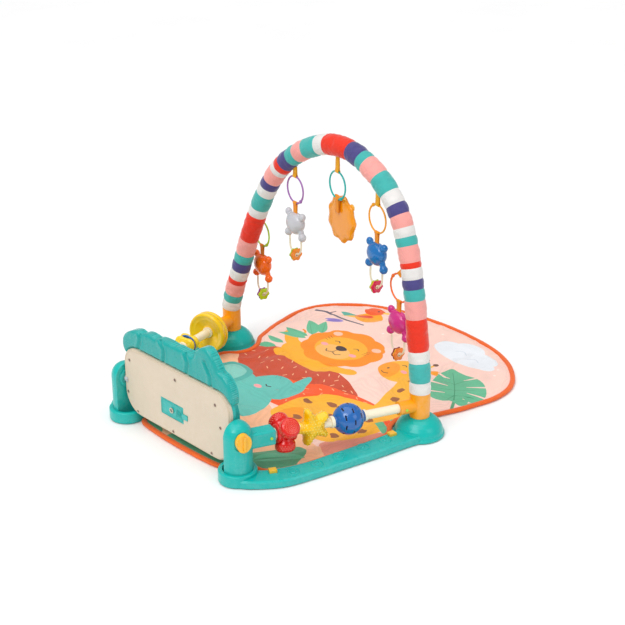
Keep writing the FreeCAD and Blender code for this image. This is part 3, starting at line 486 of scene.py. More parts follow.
def plastic(name, rgb, roughness, coat, grain=0.05, wear=0.07, crease=0.10, subsurface=0.0,
            streak=0.0):
    """Moulded plastic: mottling, fine grain, scuffs, paler worn edges, painted shade in creases,
    softened arrises.
    """
    shader = Shader(name)
    mottle = shader.remap(shader.noise(scale=14), (0.3, 0.7), (0.965, 1.02))
    colour = shader.multiply(shader.base(rgb), mottle)
    pointiness = shader.node("NewGeometry").outputs["Pointiness"]
    edges = shader.remap(pointiness, (0.53, 0.62), (0.0, 1.0))
    patches = shader.remap(shader.noise(scale=160, detail=4), (0.35, 0.65), (0.2, 1.0))
    worn = shader.math("MULTIPLY", shader.math("MULTIPLY", edges, patches), wear)
    colour = shader.mix(worn, colour, (1, 1, 1, 1))
    # painted shade: concave creases, found by pointiness, are darkened by up to `crease`
    creases = shader.remap(pointiness, (0.36, 0.46), (1.0 - crease, 1.0))
    colour = shader.multiply(colour, creases)
    scuffs = shader.stretched({"Scale": (40, 900, 220), "Rotation": (0.4, 0.7, 1.1)})
    scuffs = shader.remap(scuffs, (0.66, 0.74), (0.0, 0.05))
    gloss = shader.remap(shader.noise(scale=60), (0.3, 0.7), (roughness - 0.05, roughness + 0.07))
    height = shader.math("ADD", shader.noise(scale=1500, detail=2),
                         shader.math("MULTIPLY", shader.noise(scale=260, detail=2), 0.6))
    if streak:
        lines = shader.stretched({"Scale": (420, 420, 30)})
        height = shader.math("ADD", height, shader.math("MULTIPLY", lines, streak))
    soft_edges = shader.node("Bevel", {"Radius": 0.0010}, samples=4)
    shader.bump(height, strength=grain, distance=0.0004, Normal=soft_edges.outputs[0])
    shader.surface({"Base Color": colour, "Roughness": shader.math("ADD", gloss, scuffs),
                    "Coat Weight": coat, "Coat Roughness": 0.12, "IOR": 1.5,
                    "Specular IOR Level": 0.32})
    if subsurface:
        shader.surface({"Subsurface Weight": subsurface,
                        "Subsurface Radius": (0.004, 0.004, 0.004)})
    return shader.material


def fabric(name, rgb, period, bump, roughness=0.86, sheen=0.35, blotch=0.08):
    """Woven cloth: threads at a period in metres, slub, faint blotches and a soft sheen."""
    shader = Shader(name)
    waves = [shader.node("TexWave", {"Scale": tau / (20 * period), "Distortion": 0.6,
                                     "Detail": 1.0, "Detail Scale": 1.5,
                                     "Vector": shader.coords},
                         wave_type="BANDS", bands_direction=axis).outputs["Fac"]
             for axis in "XYZ"]
    weave = shader.math("ADD", shader.math("ADD", waves[0], waves[1]), waves[2])
    weave = shader.math("MULTIPLY", weave, 1.0 / len(waves))
    slub = shader.math("MULTIPLY", shader.noise(scale=900, detail=2), 0.5)
    blotches = shader.remap(shader.noise(scale=14, detail=4), (0.3, 0.7),
                            (1 - blotch, 1 + blotch * 0.5))
    colour = shader.multiply(shader.base(rgb), blotches)
    colour = shader.multiply(colour, shader.remap(weave, (0.2, 0.8), (0.90, 1.05)))
    gloss = shader.remap(shader.noise(scale=300, detail=2), (0.3, 0.7),
                         (roughness - 0.06, roughness + 0.06))
    shader.surface({"Base Color": colour, "Roughness": gloss, "Sheen Weight": sheen,
                    "Sheen Roughness": 0.4})
    shader.bump(shader.math("ADD", weave, slub), strength=bump, distance=0.0003)
    return shader.material


def metal(name, colour, roughness):
    shader = Shader(name)
    stain = shader.remap(shader.noise(scale=300), (0.3, 0.7), (0, 1))
    dark = tuple(v * 0.75 for v in colour[:3]) + (1,)
    gloss = shader.remap(shader.noise(scale=900, detail=2), (0.3, 0.7),
                         (roughness - 0.1, roughness + 0.15))
    shader.surface({"Base Color": shader.mix(stain, dark, colour), "Metallic": 1.0,
                    "Roughness": gloss})
    shader.bump(shader.noise(scale=1200, detail=2), strength=0.1, distance=0.0002)
    return shader.material


# key: material name, sRGB colour (None: painted tint), roughness, coat, other settings
PLASTICS = {
    "teal": ("teal_moulding", (0, 184, 176), 0.32, 0.3, {}),
    "teal_crest": ("teal_crest", (0, 166, 160), 0.26, 0.35, {"streak": 3.0}),
    "cream": ("cream_cover", (221, 205, 182), 0.5, 0.05, {"grain": 0.12, "wear": 0.08}),
    "bar": ("bar_cream", (250, 238, 210), 0.28, 0.35, {"subsurface": 0.1}),
    "amber": ("amber_collar", (252, 166, 8), 0.33, 0.2, {}),
    "yellow": ("yellow_gloss", (255, 196, 6), 0.22, 0.4, {}),
    "knob": ("knob_gloss", (255, 188, 0), 0.25, 0.4, {}),
    "lime": ("lime_gloss", (176, 226, 32), 0.25, 0.4, {}),
    "red": ("red_gloss", (232, 20, 10), 0.22, 0.5, {}),
    "blue": ("blue_gloss", (24, 100, 178), 0.14, 0.7, {}),
    "grey": ("grey_tube", (205, 205, 208), 0.3, 0.3, {}),
    "orange": ("orange_gloss", (255, 112, 4), 0.2, 0.5, {}),
    "pink": ("pink_gloss", (215, 50, 140), 0.25, 0.45, {}),
    "purple": ("purple_gloss", (168, 110, 186), 0.25, 0.45, {}),
    "rubber": ("foot_rubber", (70, 74, 76), 0.75, 0.0, {"grain": 0.3, "wear": 0.05}),
    "board": ("solder_mask", (30, 110, 62), 0.4, 0.3, {}),
    "cell": ("cell_wrap", (58, 64, 74), 0.3, 0.4, {}),
    # dark material painted into the ball's slots as shade
    "dark": ("slot_painted_shade", (60, 44, 48), 0.4, 0.1, {}),
    "toy": ("toy_gloss", None, 0.16, 0.55, {"wear": 0.03, "crease": 0.02}),
}
SOLID = {key: plastic(*row, **extra) for key, (*row, extra) in PLASTICS.items()}
SOLID["steel"] = metal("plated_steel", colour=(0.45, 0.42, 0.40, 1), roughness=0.35)
SOLID["screw"] = metal("dark_screw", colour=(0.30, 0.20, 0.17, 1), roughness=0.45)

# key: material name, sRGB colour (None: painted tint), thread period (m), bump, other settings
FABRICS = {
    "mat": ("mat_print", None, 0.0013, 0.30, {"blotch": 0.05}),
    "under": ("mat_underside", (240, 236, 228), 0.0016, 0.4, {}),
    "bind": ("binding_tape", (243, 104, 30), 0.0009, 0.5, {"blotch": 0.10}),
    "sleeve": ("sleeve_cloth", None, 0.0010, 0.35,
               {"roughness": 0.8, "sheen": 0.5, "blotch": 0.07}),
    "orange": ("ribbon_orange", (250, 152, 10), 0.0008, 0.5, {}),
    "yellow": ("ribbon_yellow", (250, 178, 10), 0.0008, 0.5, {}),
    "thread": ("thread", (250, 140, 60), 0.0005, 0.3, {}),
    "pale": ("thread_pale", (240, 232, 222), 0.0005, 0.3, {}),
}
CLOTH = {key: fabric(*row, **extra) for key, (*row, extra) in FABRICS.items()}

CAD_FINISH = {
    "teal": "base_rail_right base_rail_left post_right post_left piano_front_shell battery_door",
    "cream": "piano_back_cover",
    "bar": "side_bar_right side_bar_left bar_spacers orange_hoop grey_hoop blue_hoop pink_hoop",
    "amber": "arch_collar_right arch_collar_left", "yellow": "mat_tab_clips",
    "knob": "lock_knob_right", "grey": "arch_tube pivot_axles",
    "rubber": "rail_foot_pads speaker", "board": "circuit_board", "cell": "battery_cells",
    "orange": "volume_slider",
    "lime": "socket_pin_right socket_pin_left collar_pin_right collar_pin_left",
    "screw": "cover_screws", "steel": "battery_screw",
}
for key, names in CAD_FINISH.items():
    for name in names.split():
        piece = NODES[name]
        if not piece.material_slots:
            piece.data.materials.append(SOLID[key])
        for slot in piece.material_slots:
            slot.material = SOLID[key]


# ------------------------------------------------------------------ hoop path
# (half width, height) up one leg; the crown closes it at x = 0
HOOP_LEG = [(235.0, 51.0), (231.2, 85.0), (212.0, 166.0), (189.0, 250.0), (165.0, 313.0),
            (145.0, 350.0), (122.0, 377.0), (98.0, 397.0), (60.0, 418.5), (30.0, 429.0)]
HOOP_CROWN = (0, 432.0)
HOOP_LEAN_X, HOOP_LEAN_Y = 0.066, 0.0629     # shift per mm of height above the foot
HOOP_FOOT_Y, HOOP_FOOT_Z = -1.3, 80
HOOP_NORMAL = Vector((0, 1, -HOOP_LEAN_Y)).normalized()


def hermite(points, steps=40):
    """Curve through (x, z) points of uneven spacing, with the ends mirrored outwards."""
    first, second, last, previous = points[0], points[1], points[-1], points[-2]
    points = ([(2 * first[0] - second[0], 2 * first[1] - second[1])] + points
              + [(2 * last[0] - previous[0], 2 * last[1] - previous[1])])
    result = []
    for i in range(1, len(points) - 2):
        before, start, end, after = (Vector(points[i + j]) for j in (-1, 0, 1, 2))
        left, middle, right = (start - before).length, (end - start).length, (after - end).length
        leave = ((start - before) / left * middle + (end - start) / middle * left)
        leave = leave.normalized() * middle
        arrive = ((end - start) / middle * right + (after - end) / right * middle)
        arrive = arrive.normalized() * middle
        for k in range(steps):
            t = k / steps
            result.append((2 * t ** 3 - 3 * t * t + 1) * start + (t ** 3 - 2 * t * t + t) * leave
                          + (-2 * t ** 3 + 3 * t * t) * end + (t ** 3 - t * t) * arrive)
    result.append(Vector(last))
    return result


hoop_path = [Vector((p[0] + HOOP_LEAN_X * (p[1] - HOOP_FOOT_Z),
                     HOOP_FOOT_Y + HOOP_LEAN_Y * (p[1] - HOOP_FOOT_Z), p[1]))
             for p in hermite([(-x, z) for x, z in HOOP_LEG] + [HOOP_CROWN] + HOOP_LEG[::-1])]
HOOP_RUN = [0.0]
for start, end in zip(hoop_path, hoop_path[1:]):
    HOOP_RUN.append(HOOP_RUN[-1] + (end - start).length)
HOOP_POINTS = np.array([list(p) for p in hoop_path])


def hoop_at(run):
    """Point at a length along the hoop, from its -X end."""
    return Vector([float(np.interp(run, HOOP_RUN, HOOP_POINTS[:, i])) for i in range(3)])


def hoop_distances(point):
    return np.linalg.norm(HOOP_POINTS - np.array(point), axis=1)


# ------------------------------------------------------------------ cloth run
def run_cloth(obj, pins, stiffness, shrink, limit, pressure=None, frames=20):
    """Simulated shape in mm, each vertex moved at most `limit`; pins are (index, weight)."""
    count = len(obj.data.vertices)
    rest = np.empty(count * 3)
    obj.data.vertices.foreach_get("co", rest)
    rest = rest.reshape(-1, 3)
    group = obj.vertex_groups.new(name="pin")
    for i, weight in pins:
        group.add([i], weight, "REPLACE")
    modifier = obj.modifiers.new("cloth", "CLOTH")
    settings = modifier.settings
    settings.vertex_group_mass = "pin"
    settings.quality = 6
    settings.mass = 0.15
    settings.tension_stiffness = settings.compression_stiffness = stiffness
    settings.shear_stiffness = stiffness / 2
    settings.bending_stiffness = 0.3
    settings.effector_weights.gravity = 0.0
    if pressure:
        settings.use_pressure = True
        settings.uniform_pressure_force = pressure
    settings.shrink_min = settings.shrink_max = shrink
    modifier.collision_settings.use_collision = False
    modifier.collision_settings.use_self_collision = False
    modifier.point_cache.frame_start, modifier.point_cache.frame_end = 1, frames
    for number in range(1, frames + 1):
        scene.frame_set(number)
    evaluated = obj.evaluated_get(bpy.context.evaluated_depsgraph_get())
    moved = np.empty(count * 3)
    evaluated.data.vertices.foreach_get("co", moved)
    obj.modifiers.remove(modifier)
    scene.frame_set(1)
    shift = moved.reshape(-1, 3) - rest
    shift[~np.isfinite(shift)] = 0.0
    length = np.linalg.norm(shift, axis=1, keepdims=True)
    shift *= np.minimum(1.0, limit * MM / np.maximum(length, 1e-12))
    return (rest + shift) / MM


# ------------------------------------------------------------------ mat print
def ellipse(x, y, radius_x, radius_y, tilt=0.0, count=36):
    c, s = cos(radians(tilt)), sin(radians(tilt))
    return [(x + radius_x * cos(a) * c - radius_y * sin(a) * s,
             y + radius_x * cos(a) * s + radius_y * sin(a) * c) for a in turns(count)]


def blob(*points, steps=5):
    return catmull(points, True, steps)


def heading(start, end):
    run = Vector((end[0] - start[0], end[1] - start[1]))
    return atan2(run.y, run.x)


def stroke(points, width, end_width=None):
    """Line with round ends that may taper."""
    end_width = width if end_width is None else end_width
    line = catmull(points, False, 6) if len(points) > 2 else points
    left, right = [], []
    last = len(line) - 1
    for i, (x, y) in enumerate(line):
        before, after = Vector(line[max(0, i - 1)]), Vector(line[min(last, i + 1)])
        along = (after - before).normalized()
        half = (width + (end_width - width) * i / last) / 2
        left.append((x - along.y * half, y + along.x * half))
        right.append((x + along.y * half, y - along.x * half))

    def cap(centre, angle, radius):
        return [(centre[0] + radius * cos(angle - pi * j / 5),
                 centre[1] + radius * sin(angle - pi * j / 5)) for j in range(1, 5)]

    return (left + cap(line[-1], heading(line[-2], line[-1]) + pi / 2, end_width / 2)
            + right[::-1] + cap(line[0], heading(line[0], line[1]) - pi / 2, width / 2))


def leaf(x0, y0, x1, y1, width, bend=0.0):
    start = Vector((x0, y0))
    run = Vector((x1, y1)) - start
    side = Vector((-run.y, run.x)).normalized()
    upper, lower = [], []
    for k in range(11):
        t = k / 10
        half = width / 2 * sin(pi * t ** 0.8) ** 0.9
        centre = start + run * t + side * bend * sin(pi * t)
        upper.append(tuple(centre + side * half))
        if 0 < k < 10:
            lower.append(tuple(centre - side * half))
    return upper + lower[::-1]


GREEN, DEEP_GREEN, VEIN = (104, 190, 148), (92, 165, 125), (70, 150, 112)
PEACH, HILL, BAND, SKY = (255, 192, 150), (208, 78, 46), (255, 92, 36), (255, 214, 200)
LION, LION_FACE = (255, 143, 5), (255, 178, 38)
BROWN, DARK, CHEEK = (120, 78, 58), (66, 50, 56), (255, 168, 170)
ELEPHANT, ELEPHANT_SHADE = (104, 198, 186), (84, 180, 170)
GIRAFFE, GIRAFFE_SHADE, TWIG = (255, 184, 50), (255, 160, 40), (104, 98, 112)
art = []     # (outline, colour), painted from first to last


def draw(rgb, *outlines):
    art.extend((outline, srgb(*rgb)) for outline in outlines)


def draw_ground():
    draw(PEACH, blob((-270, -360), (-262, -90), (-215, -20), (-150, -45), (-60, -90), (30, -130),
                     (110, -150), (185, -160), (262, -170), (270, -360)))
    draw(DEEP_GREEN,
         blob((-150, -362), (-140, -304), (-112, -290), (-82, -296), (-52, -306), (-48, -362)),
         blob((-38, -362), (-34, -300), (0, -286), (40, -290), (84, -282), (104, -236),
              (116, -214), (136, -178), (160, -184), (172, -214), (190, -262), (170, -362)))
    draw((240, 150, 128), blob((152, -140), (168, -160), (200, -172), (230, -150), (236, -60),
                               (206, -44), (180, -70)))
    draw(GREEN, leaf(118, -262, 170, -196, 26, 4), leaf(-30, -280, -70, -232, 30, 6),
         leaf(-60, -280, -120, -250, 26, -5), leaf(30, -284, 66, -226, 28, -5),
         leaf(80, -276, 88, -222, 22, 3))
    for rib in (((118, -262), (160, -208)), ((-30, -280), (-62, -240)),
                ((-60, -280), (-112, -254)), ((30, -284), (60, -236))):
        draw(DEEP_GREEN, stroke(rib, 1.6, 0.8))


# centres of the short dashes strewn over the hill and over the band
HILL_DASHES = [
    (-178, 2), (-160, 18), (-150, -8), (-134, 24), (-128, -20), (-112, 6), (-104, -30), (-92, 20),
    (-84, -12), (-70, 6), (-52, -16), (-44, 8), (-30, -10), (-20, 14), (-6, 28), (4, 6), (18, 22),
    (26, 4), (40, 16), (52, 8), (-176, -18), (-140, 2), (-118, -6), (-60, -28), (-36, 36),
    (10, 36), (62, 16)]
BAND_DASHES = [
    (-20, -40), (0, -32), (14, -52), (22, -20), (38, -6), (-4, -66), (8, -88), (60, 4), (84, 6),
    (34, -30), (-34, -66), (104, 6)]


def draw_hills():
    draw(HILL, blob((-262, -70), (-214, -20), (-196, 2), (-186, 22), (-164, 37), (-136, 47),
                    (-96, 56), (-60, 58), (-27, 52), (15, 41), (45, 31), (80, 12), (70, -10),
                    (20, -40), (-60, -90), (-150, -110)))
    draw(PEACH, blob((-262, -85), (-220, -30), (-190, -24), (-168, -44), (-150, -62),
                     (-150, -110), (-240, -140)))
    draw(BAND, blob((-70, -60), (-48, -35), (-18, -23), (8, -7), (42, 1), (80, 12), (130, 10),
                    (175, -12), (160, -60), (60, -104), (10, -110), (-30, -110), (-66, -92)))
    draws = random.Random(3)

    def dash(x, y, rgb, half=None):
        a = draws.uniform(0, pi)
        half = half or draws.uniform(2.6, 4.0)
        draw(rgb, stroke([(x - half * cos(a), y - half * sin(a)),
                          (x + half * cos(a), y + half * sin(a))], 1.7))

    for x, y in HILL_DASHES:
        dash(x, y, (255, 196, 150))
    for x, y in BAND_DASHES:
        dash(x, y, (255, 190, 130), half=3.2)


# giraffe patches: x, y, radius x, radius y, phase (degrees)
PATCHES = [
    (34, -62, 10, 7, 30), (70, -40, 12, 8, -10), (112, -24, 11, 8, 20), (150, -36, 12, 9, 0),
    (62, -112, 12, 7, 10), (104, -116, 11, 7, -20), (150, -112, 11, 8, 30), (136, -72, 13, 9, 40),
    (92, -72, 12, 8, 0), (170, -70, 8, 10, 10), (150, 16, 9, 11, 20), (132, 48, 8, 10, 20),
    (116, 82, 7, 9, 20), (146, -6, 7, 5, 0), (108, 116, 5, 7, 20), (124, -134, 8, 5, 0)]


def draw_giraffe():
    draw(GIRAFFE, blob((14, -128), (16, -96), (20, -66), (32, -38), (52, -18), (80, -2), (112, 6),
                       (140, 8), (172, 6), (190, -12), (192, -40), (184, -84), (168, -122),
                       (140, -142), (96, -150), (46, -146)))
    draw(GIRAFFE_SHADE, blob((26, -120), (40, -92), (70, -84), (100, -92), (110, -124),
                             (80, -142), (44, -138)))
    draw(GIRAFFE, stroke([(158, -18), (146, 22), (128, 66), (104, 118), (94, 146)], 62, 30))
    draw(GIRAFFE_SHADE, leaf(104, 160, 140, 176, 15, 2))
    draw(GIRAFFE, blob((40, 104), (30, 118), (31, 140), (40, 158), (58, 172), (84, 176),
                       (104, 164), (112, 140), (104, 112), (84, 98), (60, 94)))
    draw(GIRAFFE_SHADE, blob((40, 104), (30, 118), (31, 140), (44, 148), (60, 140), (70, 122),
                             (68, 104), (58, 95)))
    for horn in (((78, 170), (74, 196)), ((96, 164), (98, 192))):
        draw(GIRAFFE, stroke(horn, 5, 4.5))
        draw(BROWN, ellipse(*horn[1], 5.2, 5.2))
    draw(DARK, stroke([(58, 148), (62, 152), (67, 149)], 1.8), ellipse(46, 124, 2.0, 2.6),
         stroke([(44, 108), (52, 106), (58, 110)], 1.5))
    draw(CHEEK, ellipse(76, 132, 6.5, 4.6))
    for x, y, radius_x, radius_y, phase in PATCHES:
        # nine uneven corners over about one turn
        angles = [6.2832 * k / 9 + radians(phase) for k in range(9)]
        draw((160, 96, 56),
             blob(*((x + radius_x * (0.86 + 0.22 * sin(2.4 * k + x)) * cos(a),
                     y + radius_y * (0.86 + 0.22 * cos(1.9 * k + y)) * sin(a))
                    for k, a in enumerate(angles)), steps=4))


def draw_elephant():
    draw(ELEPHANT, blob((-205, -150), (-190, -96), (-150, -62), (-100, -66), (-60, -86),
                        (-28, -112), (-30, -190), (-100, -220), (-180, -210)),
         stroke([(-26, -116), (-14, -142), (-8, -164)], 40, 34))
    draw(ELEPHANT_SHADE, stroke([(-22, -178), (-12, -180), (-2, -178)], 2.0))
    draw(ELEPHANT, ellipse(-46, -76, 44, 42),
         stroke([(-20, -84), (-10, -58), (-18, -30), (-21, -8)], 44, 13))
    draw(ELEPHANT_SHADE, blob((-172, -66), (-156, -50), (-130, -50), (-108, -60), (-98, -82),
                              (-104, -108), (-124, -126), (-150, -122), (-170, -100)))
    draw((134, 208, 196), blob((-164, -72), (-152, -60), (-132, -60), (-116, -68), (-110, -84),
                               (-114, -102), (-128, -114), (-148, -110), (-162, -94)))
    draw(DARK, stroke([(-56, -76), (-50, -79), (-44, -76)], 2.4))
    draw(CHEEK, ellipse(-62, -90, 8.5, 5.5))
    for k in range(3):
        draw(ELEPHANT_SHADE, stroke([(-24 + k * 0.8, -26 - 12 * k), (-17 + k * 1.5, -24 - 12 * k),
                                     (-11 + 2 * k, -26 - 12 * k)], 1.2))
    draw(ELEPHANT_SHADE, stroke([(-60, -36), (-54, -44)], 1.3),
         stroke([(-68, -38), (-63, -47)], 1.3))


def draw_lion():
    draw(LION_FACE, stroke([(-40, 44), (6, 58)], 24, 20), ellipse(8, 60, 17, 11, 20),
         blob((-150, 46), (-120, 26), (-80, 22), (-40, 22), (-18, 36), (-20, 62), (-60, 80),
              (-120, 82), (-152, 70)),
         ellipse(-136, 32, 19, 11, -12), stroke([(-118, 70), (-152, 76), (-176, 96)], 24, 26),
         ellipse(-179, 100, 16, 14, 40))
    draw(LION, stroke([(-160, 112), (-166, 122), (-176, 126)], 5, 4))
    mane = []
    for a in turns(96):
        scale = 1.0 + 0.085 * abs(sin(4.5 * a + 0.4)) - 0.03
        mane.append((-66 + 78 * scale * cos(a), 121 + 70 * scale * sin(a)))
    draw(LION, mane)
    for x, y in ((-117, 160), (-16, 158)):
        draw(LION, ellipse(x, y, 17, 15))
        draw((255, 200, 170), ellipse(x, y, 9.5, 8))
    draw(LION_FACE, ellipse(-68, 119, 52, 45))
    draw((255, 190, 104), ellipse(-70, 100, 37, 25))
    draw(DARK, blob((-80, 122), (-72, 127), (-62, 126), (-55, 120), (-60, 112), (-68, 109),
                    (-76, 113)),
         stroke([(-68, 110), (-69, 98)], 1.6),
         stroke([(-86, 100), (-80, 93), (-69, 97), (-58, 93), (-51, 100)], 1.8))
    for x in (-92, -44):
        draw(DARK, stroke([(x - 6, 134), (x, 138), (x + 6, 134)], 2.0))
    for x in (-104, -32):
        draw(CHEEK, ellipse(x, 112, 8, 5.5))
    for side in (-1, 1):
        for k in range(3):
            x = -68 + side * 44
            draw((190, 90, 20), stroke([(x, 128 + 6 * k), (x + side * 8, 130 + 7 * k)], 1.3))


def draw_side_leaves():
    for shape in ((-150, 112, -206, 110, 22, 5), (-148, 122, -200, 164, 26, -5),
                  (-140, 140, -172, 182, 22, 4), (-146, 104, -200, 84, 18, -3),
                  (-160, 60, -204, 62, 16, 3), (-158, 40, -200, 22, 16, -3)):
        x0, y0, x1, y1 = shape[:4]
        draw(GREEN, leaf(*shape))
        draw(DEEP_GREEN,
             stroke([(x0, y0), (x0 + 0.8 * (x1 - x0), y0 + 0.8 * (y1 - y0))], 1.4, 0.7))


def draw_bird():
    draw(TWIG, stroke([(-224, 206), (-198, 216), (-158, 214), (-112, 222)], 6.5, 3.6),
         stroke([(-198, 216), (-194, 230)], 3.2, 2))
    draw((158, 138, 206), leaf(-150, 208, -186, 192, 15, 2))
    draw((140, 118, 196), leaf(-154, 204, -176, 184, 12, -2))
    draw((96, 178, 160), leaf(-140, 250, -186, 236, 20, 3))
    draw((255, 196, 60), leaf(-138, 244, -176, 226, 13, -2))
    draw((255, 168, 40), blob((-158, 248), (-140, 232), (-118, 236), (-104, 252), (-108, 272),
                              (-126, 282), (-146, 272)))
    draw((248, 96, 40), ellipse(-140, 284, 21, 15, 20))
    draw((240, 80, 44), leaf(-128, 268, -158, 246, 18, 3))
    draw((255, 200, 70), leaf(-124, 288, -108, 300, 9, 0))
    draw(DARK, ellipse(-134, 288, 2.4, 2.4))


def draw_sky():
    for puff in ((104, 254, 66, 26, -6), (66, 266, 28, 24), (98, 280, 34, 26),
                 (138, 268, 36, 22), (160, 250, 22, 14)):
        draw((238, 242, 247), ellipse(*puff))
    draw((214, 222, 232), stroke([(84, 262), (96, 270), (108, 264)], 1.6),
         stroke([(120, 252), (132, 260), (144, 254)], 1.6))
    for x, y in ((10, 230), (-30, 262), (-60, 222), (20, 300), (-80, 300), (196, 236),
                 (-10, 196), (186, 258)):
        draw((255, 236, 226), ellipse(x, y, 2.6, 2.6, count=14))


def draw_broad_leaf():
    draw(DEEP_GREEN, stroke([(228, 82), (214, 104), (204, 122)], 6, 4.5))
    draw(GREEN, blob((206, 110), (186, 96), (158, 100), (138, 122), (128, 152), (122, 180),
                     (126, 202), (144, 201), (162, 200), (180, 204), (200, 199), (218, 186),
                     (234, 166), (238, 140), (226, 114)))
    for slit in (((236, 160), (206, 150)), ((216, 190), (192, 166)), ((182, 206), (172, 182)),
                 ((240, 130), (214, 130)), ((130, 146), (164, 148)), ((148, 108), (176, 126)),
                 ((122, 174), (148, 172))):
        draw(SKY, stroke(slit, 5.0, 1.6))
    draw(VEIN, stroke([(206, 116), (180, 148), (138, 192)], 2.0, 0.9))
    for rib in (((196, 128), (224, 146)), ((184, 143), (208, 168)), ((170, 158), (176, 188)),
                ((196, 128), (196, 108)), ((184, 143), (150, 124)), ((168, 160), (140, 158))):
        draw(VEIN, stroke(rib, 1.2, 0.7))


def draw_striped_leaf():
    draw(GREEN, resample([(166, -36), (200, -52), (204, -38), (171, -22)], 4.0))
    draw(BAND, resample([(171, -22), (204, -38), (202, -24), (175, -9)], 4.0))
    draw(GREEN, resample([(175, -9), (202, -24), (196, -8), (180, 3)], 4.0))


for draw_motif in (draw_ground, draw_hills, draw_giraffe, draw_elephant, draw_lion,
                   draw_side_leaves, draw_bird, draw_sky, draw_broad_leaf, draw_striped_leaf):
    draw_motif()

# ------------------------------------------------------------------ play mat
# (x, y) down the +X half of the edge, from the piano end to the far end
MAT_HALF = [
    (0, -318.6), (45, -317.6), (76, -315.4), (96, -312.4), (105.0, -307.0), (109.5, -299.0),
    (114.0, -289.0), (122.5, -281.5), (134.0, -277.5), (150.0, -275.5), (161.5, -268.0),
    (173.0, -253.0), (182.8, -231.0), (190.2, -204.5), (195.4, -175.0), (200.9, -146.0),
    (206.1, -116.0), (210.4, -85.0), (212.6, -62.0), (211.0, -46.0), (204.5, -35.0),
    (194.5, -22.5), (188.6, -1.3), (194.5, 20.2), (204.0, 33.0), (216.0, 48.0), (226.0, 74.0),
    (236.0, 103.0), (243.5, 135.0), (249.5, 163.0), (250.8, 184.0), (248.5, 208.0),
    (240.5, 233.0), (221.5, 262.0), (187.5, 294.0), (149.0, 316.0), (105.5, 330.0),
    (53.0, 338.5), (0, 341.7)]
BINDING_WIDTH = 9.0
BINDING_Z = 3.75
mat_edge = resample(catmull(MAT_HALF + [(-x, y) for x, y in MAT_HALF[-2:0:-1]], True, 8), 3.0)
binding_loop = offset(mat_edge, BINDING_WIDTH / 2)
cloth_outline = resample(binding_loop, 4.0)


def art_creases():
    """Print outlines clipped to the cloth, as (points, closed) polylines."""
    creases = []
    for outline, _ in art:
        points = np.array(outline)
        within = inside(cloth_outline, points[:, 0], points[:, 1])
        if within.all():
            creases.append((outline, True))
        elif within.any():
            # start at a point outside, so that each run of points inside stays whole
            start = int(within.argmin())
            run = []
            for k in range(len(outline) + 1):
                i = (start + k) % len(outline)
                if within[i]:
                    run.append(outline[i])
                else:
                    if len(run) > 1:
                        creases.append((run, False))
                    run = []
    return creases


def mat_relief():
    """Height function of a coarse sheet sewn at its edge and run as cloth."""
    points, triangles = flat_mesh(cloth_outline, 11.0)
    distance = edge_distance(cloth_outline, points[:, 0], points[:, 1])
    heights = 0.35 * np.array([noise_at(x / 60, y / 60, 3.0) for x, y in points])
    heights += 0.5 * np.minimum(distance / 30, 1)
    faces = triangles.tolist()
    sheet = mesh("relief_sheet", [(x, y, z) for (x, y), z in zip(points, heights)], faces,
                 [CLOTH["mat"]], orient=False)
    pins = [(i, 1.0) for i in range(len(points)) if distance[i] < 2.0]
    moved = run_cloth(sheet, pins, stiffness=10.0, shrink=-0.018, limit=5.0)
    bpy.data.objects.remove(sheet)
    tree = BVHTree.FromPolygons([Vector((x, y, 0)) for x, y in points], faces)
    relief = np.clip(moved[:, 2], -0.6, 3.6)

    def height_at(x, y):
        corners = triangles[tree.find_nearest(Vector((x, y, 0)))[2]]
        system = np.column_stack([points[corners], [1, 1, 1]]).T
        try:
            weights = np.clip(np.linalg.solve(system, np.array([x, y, 1.0])), 0, 1)
        except np.linalg.LinAlgError:     # a triangle with no area
            weights = np.array([1, 1, 1]) / 3
        return float((weights / weights.sum()) @ relief[corners])

    return height_at


def make_mat_cloth():
    points, triangles = flat_mesh(cloth_outline, 6.5, art_creases())
    centres = points[triangles].mean(1).T
    colours = np.tile(np.array(srgb(*SKY), np.float32), (len(triangles), 1))
    for outline, colour in art:
        colours[inside(outline, *centres)] = colour
    relief = mat_relief()
    top = []
    for (x, y), distance in zip(points, edge_distance(cloth_outline, points[:, 0], points[:, 1])):
        pucker = 0.45 * exp(-distance / 9.0) * noise_at(x / 5.5, y / 5.5, 1.0)
        soft = 0.5 * noise_at(x / 26, y / 26, 5.0) + 0.22 * noise_at(x / 9, y / 9, 8.0)
        z = (3.7 + relief(x, y) * min(1.0, distance / 10 + 0.15) + pucker
             + soft * min(1.0, distance / 14))
        top.append((x, y, max(z, 2.6)))
    faces = close_sheet(triangles, len(points), collect=set)
    printed = len(triangles)
    plain = len(faces) - printed
    cloth = mesh("mat_cloth", top + [(x, y, 0.3) for x, y in points], faces,
                 [CLOTH["mat"], CLOTH["under"]],
                 colours=[tuple(c) for c in colours] + [srgb(240, 236, 228)] * plain,
                 face_materials=[0] * printed + [1] * plain)
    attach(cloth, "frame", "play_mat", slot="mat_fabric")


def binding_section(i):
    """Squarish tape section that swells and narrows along the edge."""
    x, y = binding_loop[i]
    half_width = (BINDING_WIDTH / 2) * (1.0 + 0.05 * noise_at(x / 14, y / 14, 2.0))
    height = 3.25 * (1 + 0.10 * noise_at(x / 20, y / 20, 4.0)) + 0.16 * sin(i * 2.1)
    return [(height * copysign(abs(cos(a)) ** 0.7, cos(a)),
             half_width * copysign(abs(sin(a)) ** 0.75, sin(a))) for a in turns(16)]


